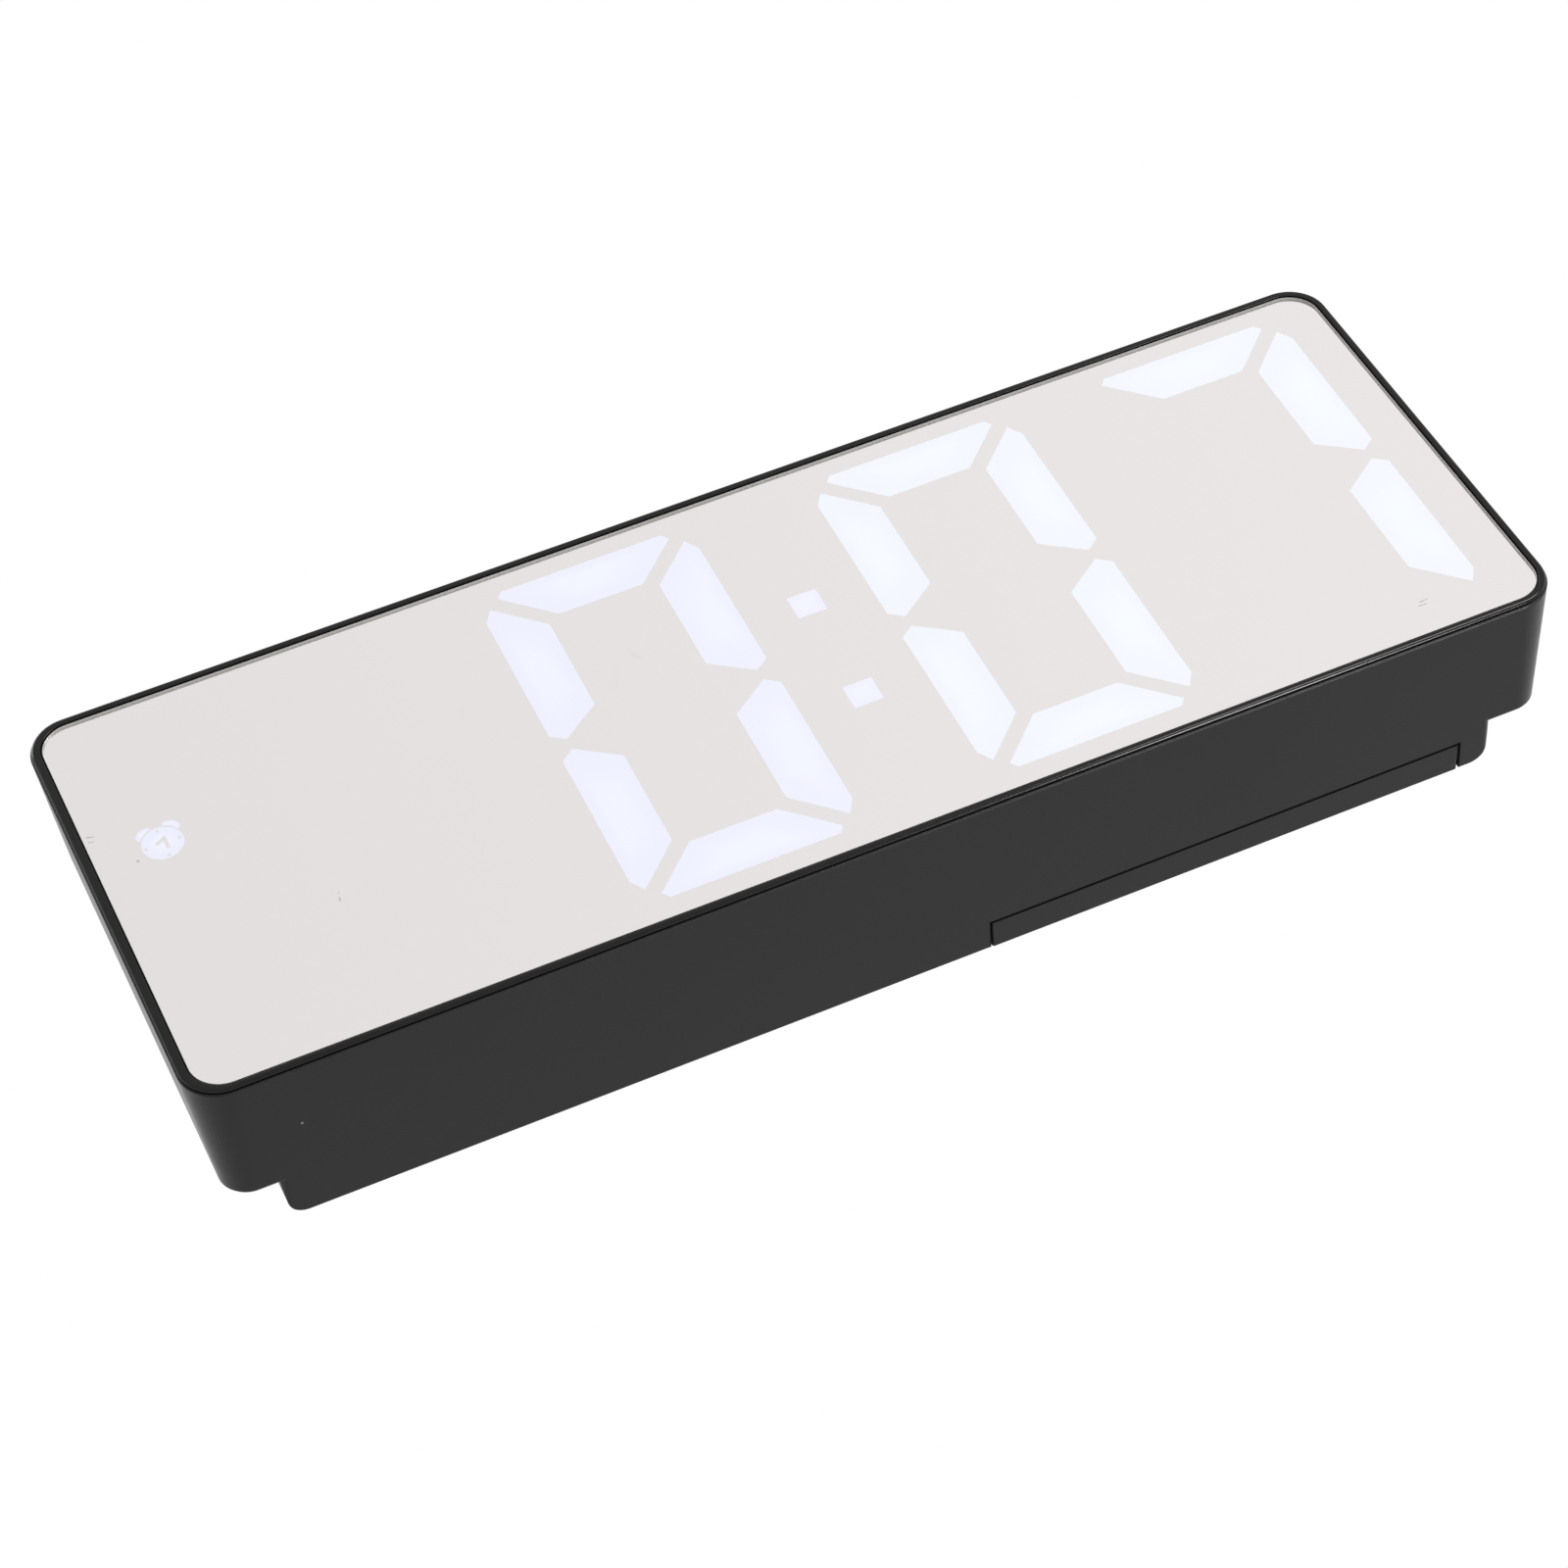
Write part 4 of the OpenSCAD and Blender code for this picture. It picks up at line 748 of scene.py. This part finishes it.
def digit_outlines():
    """The seven outlines of a digit about its middle, named a to g, as lists of x and z."""
    w = digit_width / 2
    h = digit_height / 2
    bar = [(-w + tip_in + bar_corner, h), (w - tip_in - bar_corner, h), (w - tip_in, h - blunt),
           (w - tip_in - segment_width + blunt, h - segment_width),
           (-w + tip_in + segment_width - blunt, h - segment_width), (-w + tip_in, h - blunt)]
    top = h - blunt - segment_gap * top_share
    flank = [(-w + tip_side, top), (-w, top - flank_corner), (-w, waist_gap + waist_corner),
             (-w + waist_tip, waist_gap),
             (-w + segment_width, waist_gap + (segment_width - waist_tip) * waist_slope),
             (-w + segment_width, top - segment_width + tip_side)]
    end = waist_tip + waist_gap + middle_inset
    thick = segment_width / 2
    run = end + thick / waist_slope
    middle = [(-w + end, 0), (-w + run, thick), (w - run, thick), (w - end, 0), (w - run, -thick),
              (-w + run, -thick)]
    low = [(x, -z) for x, z in flank]
    return {"a": bar, "b": [(-x, z) for x, z in flank], "c": [(-x, z) for x, z in low],
            "d": [(x, -z) for x, z in bar], "e": low, "f": flank, "g": middle}


def plate(name, outlines, centre, front, back):
    """Upright plates with the given outlines about a centre (x, z). Each front has a ring and a middle
    point, with the share of light that the chip behind gives there, and the flanks are slot 1."""
    points = []
    faces = []
    owner = []
    share = []
    rings = ((back, 1, 0), (front, 1, 0), (front, outer_ring, outer_light), (front, inner_ring, inner_light))
    bands = len(rings) - 1
    for outline in outlines:
        first = len(points)
        count = len(outline)
        mid_x = sum(x for x, z in outline) / count
        mid_z = sum(z for x, z in outline) / count
        for depth, scale, light in rings:
            for x, z in outline:
                x = mid_x + (x - mid_x) * scale
                z = mid_z + (z - mid_z) * scale
                points.append((centre[0] + x + z * tan(digit_lean), face_y + depth, centre[1] + z))
                share.append(light)
        points.append((centre[0] + mid_x + mid_z * tan(digit_lean), face_y + front, centre[1] + mid_z))
        share.append(1)
        last = len(points) - 1
        faces.append(tuple(first + k for k in reversed(range(count))))
        owner.append(1)
        for ring in range(bands):
            for k in range(count):
                n = (k + 1) % count
                a = first + ring * count
                faces.append((a + k, a + n, a + count + n, a + count + k))
                owner.append(1 if ring == 0 else 0)
        for k in range(count):
            faces.append((first + bands * count + k, first + bands * count + (k + 1) % count, last))
            owner.append(0)
    piece = add_mesh(name, points, faces)
    piece.data.polygons.foreach_set("material_index", owner)
    light = piece.data.attributes.new("chip_light", "FLOAT", "POINT")
    light.data.foreach_set("value", share)
    tidy_normals(piece)
    return piece


def glowing(name, edge, middle, strength):
    """Milky plastic with light behind it, whiter over the chip and faintly clouded."""
    material, node, link = new_material(name)
    place = node("ShaderNodeTexCoord")
    chip = node("ShaderNodeAttribute", attribute_name="chip_light")
    cloud = node("ShaderNodeTexNoise", Scale=cloud_scale, Detail=2.0)
    spot = node("ShaderNodeMapRange", interpolation_type="SMOOTHSTEP")
    tone = node("ShaderNodeMix", data_type="RGBA")
    tone.inputs["A"].default_value = edge
    tone.inputs["B"].default_value = middle
    power = node("ShaderNodeMapRange")
    power.inputs["From Min"].default_value = noise_low
    power.inputs["From Max"].default_value = noise_high
    power.inputs["To Min"].default_value = strength * cloud_dim
    power.inputs["To Max"].default_value = strength * cloud_bright
    rough = node("ShaderNodeMapRange")
    rough.inputs["To Min"].default_value = milk_smooth
    rough.inputs["To Max"].default_value = milk_dull
    bump = node("ShaderNodeBump", Strength=0.3, Distance=milk_ripple)
    surface = node("ShaderNodeBsdfPrincipled")
    surface.inputs["Base Color"].default_value = milk_grey
    output = node("ShaderNodeOutputMaterial")
    link(place.outputs["Object"], cloud.inputs["Vector"])
    link(chip.outputs["Fac"], spot.inputs["Value"])
    link(spot.outputs["Result"], tone.inputs["Factor"])
    link(tone.outputs["Result"], surface.inputs["Emission Color"])
    link(cloud.outputs["Fac"], power.inputs["Value"])
    link(power.outputs["Result"], surface.inputs["Emission Strength"])
    link(cloud.outputs["Fac"], rough.inputs["Value"])
    link(rough.outputs["Result"], surface.inputs["Roughness"])
    link(cloud.outputs["Fac"], bump.inputs["Height"])
    link(bump.outputs["Normal"], surface.inputs["Normal"])
    link(surface.outputs[0], output.inputs[0])
    return material


def finish_diffuser(piece, node_name, lit):
    """Gives a row of diffusers its materials and its place in the frame."""
    glow = white_glow if node_name.startswith("minute") else cool_glow
    piece.data.materials.append(glow if lit else unlit)
    piece.data.materials.append(painted_flank)
    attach(piece, "case")
    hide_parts(node_name)


cool_glow = glowing("cool_diffuser", cool_edge, cool_middle, cool_strength)
white_glow = glowing("white_diffuser", white_edge, white_middle, white_strength)
unlit = moulded("unlit_diffuser", unlit_grey, 0.5, 0.3, 0.3 * mm, 0.01 * mm)
painted_flank = moulded("painted_flank", flank_black, 0.6, 0.2, 0.3 * mm, 0.01 * mm)
outlines = digit_outlines()
for name, letters in zip(digit_names, shown_time):
    low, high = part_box(name)
    centre = ((low.x + high.x) / 2, (low.z + high.z) / 2)
    shine = [outlines[k] for k in "abcdefg" if k in letters]
    dark = [outlines[k] for k in "abcdefg" if k not in letters]
    if shine:
        finish_diffuser(plate(name + "_lit", shine, centre, glow_front, glow_back), name, True)
    finish_diffuser(plate(name + "_unlit", dark, centre, well_front, glow_back), name, False)

dot_half = 1.75 * mm
low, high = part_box("colon_diffusers")
dot_rise = (high.z - low.z) / 2 - dot_half
square = [(-dot_half, -dot_half), (dot_half, -dot_half), (dot_half, dot_half), (-dot_half, dot_half)]
dots = [[(x, z + dot_rise * way) for x, z in square] for way in (-1, 1)]
centre = ((low.x + high.x) / 2, (low.z + high.z) / 2)
finish_diffuser(plate("colon_dots", dots, centre, glow_front, glow_back), "colon_diffusers", True)


# Alarm sign. A small lit picture of a bell alarm clock at the left of the display: a round dial with
# two hands, four dots for the hours, and two bells set off by a thin dark arc.
dial_radius = 2.35 * mm
bell_inner = 2.52 * mm
bell_reach = 3.3 * mm
bell_half = 24
bell_places = (53, 127)
bell_steps = 12
sign_steps = 40
hand_wide = 0.42
dot_long = 0.34
dot_wide = 0.32
hour_dots = ((0, 1.86), (1.94, -0.06), (0.12, -1.95), (-1.92, -0.12))
mark_front = glow_front - 0.01 * mm
sign_centre = Vector((-70.88, 36.0)) * mm
sign_grey = (0.30, 0.32, 0.38, 1)


def around(radius, start, end, steps):
    """Points on an arc about the sign's middle, in degrees."""
    angles = [radians(start + (end - start) * k / steps) for k in range(steps + 1)]
    return [(radius * cos(a), radius * sin(a)) for a in angles]


def bell(middle):
    """A bell over the dial: a cap on an arc, at the given angle of its middle in degrees."""
    points = around(bell_inner, middle - bell_half, middle + bell_half, bell_steps)
    for k in range(1, bell_steps):
        turn = 1 - 2 * k / bell_steps
        radius = bell_inner + (bell_reach - bell_inner) * (1 - turn * turn) ** 0.5
        angle = radians(middle + bell_half * turn)
        points.append((radius * cos(angle), radius * sin(angle)))
    return points


def stroke(start, end, width):
    """A straight stroke with square ends, from (x, z) to (x, z) in millimetres."""
    way = Vector((end[0] - start[0], end[1] - start[1])).normalized() * width / 2
    corners = [(start[0] - way.y, start[1] + way.x), (start[0] + way.y, start[1] - way.x),
               (end[0] + way.y, end[1] - way.x), (end[0] - way.y, end[1] + way.x)]
    return [(x * mm, z * mm) for x, z in corners]


dial = around(dial_radius, 0, 360 - 360 / sign_steps, sign_steps - 1)
bells = [bell(middle) for middle in bell_places]
sign = plate("alarm_sign_lit", [dial] + bells, tuple(sign_centre), glow_front, glow_back)
finish_diffuser(sign, "alarm_sign_diffuser", True)
strokes = [stroke((-0.7, 0.05), (0.5, 0.7), hand_wide), stroke((0.36, 0.8), (0.38, -0.95), hand_wide)]
for x, z in hour_dots:
    strokes.append(stroke((x - dot_long / 2, z), (x + dot_long / 2, z), dot_wide))
marks = plate("alarm_sign_hands", strokes, tuple(sign_centre), mark_front, glow_front)
marks.data.materials.append(moulded("sign_print", sign_grey, 0.5, 0.3, 0.3 * mm, 0.002 * mm))
marks.data.materials.append(painted_flank)
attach(marks, "case")


# Mirror tape. A thin, matt black frame of adhesive foam, which holds the mirror sheet on the ledge of
# the bezel.
foam_black = (0.006, 0.006, 0.006, 1)
dress(["mirror_tape"], moulded("foam_tape", foam_black, 0.8, 0.05, 0.15 * mm, 0.02 * mm))


# Bezel. A black moulded frame with a satin rim, snapped into the front of the tub. Its outer edge is
# rounded, and the mirror lies in a pocket just below its rim.
rim_round = 0.3 * mm
rim_thick = 0.4 * mm
window_trim = (0.32 * mm, 0.15 * mm, 0.22 * mm)
rim_wide = 0.7 * mm
lip_round = 0.1 * mm
rim_back = 0.08 * mm
skirt_inset = 0.3 * mm
pocket_depth = 1.1 * mm
ledge_inset = 2.7 * mm
ledge_back = 2.1 * mm
face_corner = 4.6 * mm
opening_corner = 1.2 * mm
corner_steps = 14
bezel_black = (0.0015, 0.0015, 0.0016, 1)
bezel_roughness = 0.15
bezel_gloss = 0.26
# Painted shade: the near-black of the bezel's pocket, skirt and lip's inner side.
pocket_painted_shade = (0.001, 0.001, 0.001, 1)
first_shiny_band = 2
last_shiny_band = 13
bezel_low, bezel_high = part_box("bezel")


def face_loop(inset, depth, corner, window):
    """Points of the bezel's outline, drawn in by inset, at a depth behind the face. The window for the
    mirror is cut a little further in on the left, on the right and at the top."""
    left, right, top = window_trim if window else (0, 0, 0)
    high = bezel_high.z - inset - top
    low = bezel_low.z + inset
    points = []
    for x_side, z_side, start in ((1, 1, 0), (-1, 1, 90), (-1, -1, 180), (1, -1, 270)):
        reach = inset + corner
        centre_x = bezel_high.x - right - reach if x_side > 0 else bezel_low.x + left + reach
        centre_z = high - corner if z_side > 0 else low + corner
        for step in range(corner_steps + 1):
            angle = radians(start + 90 * step / corner_steps)
            points.append((centre_x + corner * cos(angle), face_y + depth, centre_z + corner * sin(angle)))
    return points


def skin(name, loops, closed=False, caps=False, smooth=True):
    """Joins loops of equal length with faces, in order; closed joins the last to the first."""
    count = len(loops[0])
    points = [p for loop in loops for p in loop]
    faces = []
    pairs = len(loops) if closed else len(loops) - 1
    for i in range(pairs):
        a = i * count
        b = (i + 1) % len(loops) * count
        for k in range(count):
            n = (k + 1) % count
            faces.append((a + k, a + n, b + n, b + k))
    if caps:
        faces.append(tuple(range(count - 1, -1, -1)))
        faces.append(tuple((len(loops) - 1) * count + k for k in range(count)))
    piece = add_mesh(name, points, faces)
    tidy_normals(piece)
    if smooth:
        sharpen(piece)
    return piece


def bend(centre_inset, centre_depth, radius, start, end, steps=6):
    """Profile points along an arc; angle 0 points inwards and 90 towards the back."""
    angles = [radians(start + (end - start) * i / steps) for i in range(steps + 1)]
    return [(centre_inset + radius * cos(a), centre_depth + radius * sin(a)) for a in angles]


profile = bend(rim_wide - lip_round, lip_round, lip_round, 0, -90, 4)
profile += bend(rim_round, rim_round, rim_round, -90, -180)
profile += bend(rim_back, rim_thick - rim_back, rim_back, 180, 90, 3)
profile += [(skirt_inset, rim_thick), (skirt_inset, ledge_back), (ledge_inset, ledge_back)]
profile += [(ledge_inset, pocket_depth), (rim_wide, pocket_depth)]
loops = [face_loop(inset, depth, max(face_corner - inset, opening_corner), inset > rim_round + lip_round)
         for inset, depth in profile]
bezel = skin("bezel_frame", loops, closed=True)
bezel_plastic = moulded("bezel_plastic", bezel_black, bezel_roughness, bezel_gloss, 0.3 * mm, 0.002 * mm)
bezel.data.materials.append(bezel_plastic)
pocket_shade = moulded("pocket_shade", pocket_painted_shade, 0.7, 0.02, 0.3 * mm, 0.005 * mm)
bezel.data.materials.append(pocket_shade)
# The inner side of the lip, the skirt and the pocket are painted near-black as painted shade.
bands = [k // len(loops[0]) for k in range(len(bezel.data.polygons))]
shaded = [0 if first_shiny_band <= band <= last_shiny_band else 1 for band in bands]
bezel.data.polygons.foreach_set("material_index", shaded)
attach(bezel, "case")
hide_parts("bezel")


# Mirror panel. A thin clear sheet with a one-way mirror film, taped into the bezel's pocket. Its cut
# edge shows as a narrow grey line under the rim, and it has a few faint smudges and scratches.
film_depth = 0.38 * mm
sheet_front = 0.1 * mm
sheet_back = 1.0 * mm
sheet_clearance = 0.2 * mm
sheet_inset = rim_wide + sheet_clearance
sheet_corner = face_corner - sheet_inset
edge_wide = 0.04 * mm
film_share = 0.865
film_colour = (0.955, 0.920, 0.915, 1)
smudge_colour = (0.86, 0.83, 0.81, 1)
film_roughness = 0.02
film_smooth = 0.7
film_dull = 1.6
haze_scale = 14.0
haze_shade = 0.985
touch_scale = 75.0
touch_start = 0.68
touch_full = 0.78
touch_strength = 0.6
dust_scale = 420.0

sheet_edge = skin("mirror_sheet_edge", [
    face_loop(sheet_inset - edge_wide, sheet_front, sheet_corner + edge_wide, True),
    face_loop(sheet_inset, sheet_front, sheet_corner, True),
    face_loop(sheet_inset, film_depth, sheet_corner, True),
    face_loop(sheet_inset - edge_wide, film_depth, sheet_corner + edge_wide, True),
], closed=True, smooth=False)
mirror = skin("mirror_panel_film", [
    face_loop(sheet_inset, film_depth, sheet_corner, True),
    face_loop(sheet_inset, sheet_back, sheet_corner, True),
], caps=True, smooth=False)

material, node, link = new_material("one_way_mirror")
place = node("ShaderNodeTexCoord")
haze = node("ShaderNodeTexNoise", Scale=haze_scale, Detail=2.0)
touch = node("ShaderNodeTexNoise", Scale=touch_scale, Detail=5.0, Distortion=1.5)
smear = node("ShaderNodeMapRange")
smear.inputs["From Min"].default_value = touch_start
smear.inputs["From Max"].default_value = touch_full
smear.inputs["To Max"].default_value = touch_strength
dust = node("ShaderNodeTexNoise", Scale=dust_scale, Detail=5.0)
tone = node("ShaderNodeMix", data_type="RGBA")
tone.inputs["A"].default_value = [c * haze_shade for c in film_colour[:3]] + [1]
tone.inputs["B"].default_value = film_colour
smeared = node("ShaderNodeMix", data_type="RGBA")
smeared.inputs["B"].default_value = smudge_colour
rough = node("ShaderNodeMapRange")
rough.inputs["To Min"].default_value = film_roughness * film_smooth
rough.inputs["To Max"].default_value = film_roughness * film_dull
film = node("ShaderNodeBsdfPrincipled", Metallic=1.0)
clear = node("ShaderNodeBsdfTransparent")
blend = node("ShaderNodeMixShader", Fac=film_share)
output = node("ShaderNodeOutputMaterial")
for texture in (haze, touch, dust):
    link(place.outputs["Object"], texture.inputs["Vector"])
link(haze.outputs["Fac"], tone.inputs["Factor"])
link(touch.outputs["Fac"], smear.inputs["Value"])
link(smear.outputs["Result"], smeared.inputs["Factor"])
link(tone.outputs["Result"], smeared.inputs["A"])
link(smeared.outputs["Result"], film.inputs["Base Color"])
link(dust.outputs["Fac"], rough.inputs["Value"])
link(rough.outputs["Result"], film.inputs["Roughness"])
link(clear.outputs[0], blend.inputs[1])
link(film.outputs[0], blend.inputs[2])
link(blend.outputs[0], output.inputs[0])
mirror.data.materials.append(material)
backing_black = (0.006, 0.006, 0.006, 1)
mirror.data.materials.append(moulded("mirror_backing", backing_black, 0.6, 0.1, 0.3 * mm, 0.004 * mm))
backed = [0 if face.normal.y < -0.5 else 1 for face in mirror.data.polygons]
mirror.data.polygons.foreach_set("material_index", backed)
edge_grey = (0.3, 0.3, 0.29, 1)
sheet_edge.data.materials.append(moulded("cut_acrylic_edge", edge_grey, 0.3, 0.5, 0.2 * mm, 0.004 * mm))
for piece in (mirror, sheet_edge):
    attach(piece, "case")
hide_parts("mirror_panel")

scuff_front = film_depth - 0.02 * mm
scuff_back = film_depth - 0.01 * mm
scuff_grey = (0.42, 0.41, 0.39, 1)
scratches = [stroke((-78.7, 40.5), (-77.9, 40.3), 0.12), stroke((-78.7, 39.75), (-78.1, 39.6), 0.08),
             stroke((-56.93, 19.9), (-56.95, 19.4), 0.18), stroke((-56.78, 20.6), (-56.7, 20.5), 0.1),
             stroke((65.1, 5.85), (66.2, 5.98), 0.08), stroke((64.7, 5.4), (65.8, 5.35), 0.07),
             stroke((-74.8, 34.75), (-74.5, 34.7), 0.2)]
scuffs = plate("mirror_scuffs", scratches, (0, 0), scuff_front, scuff_back)
# One paint for the fronts and one for the flanks, both of the same grey.
for index in range(2):
    scuff_paint = moulded("scuff_%d" % index, scuff_grey, 0.6, 0.1, 0.1 * mm, 0.002 * mm)
    scuffs.data.materials.append(scuff_paint)
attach(scuffs, "case")
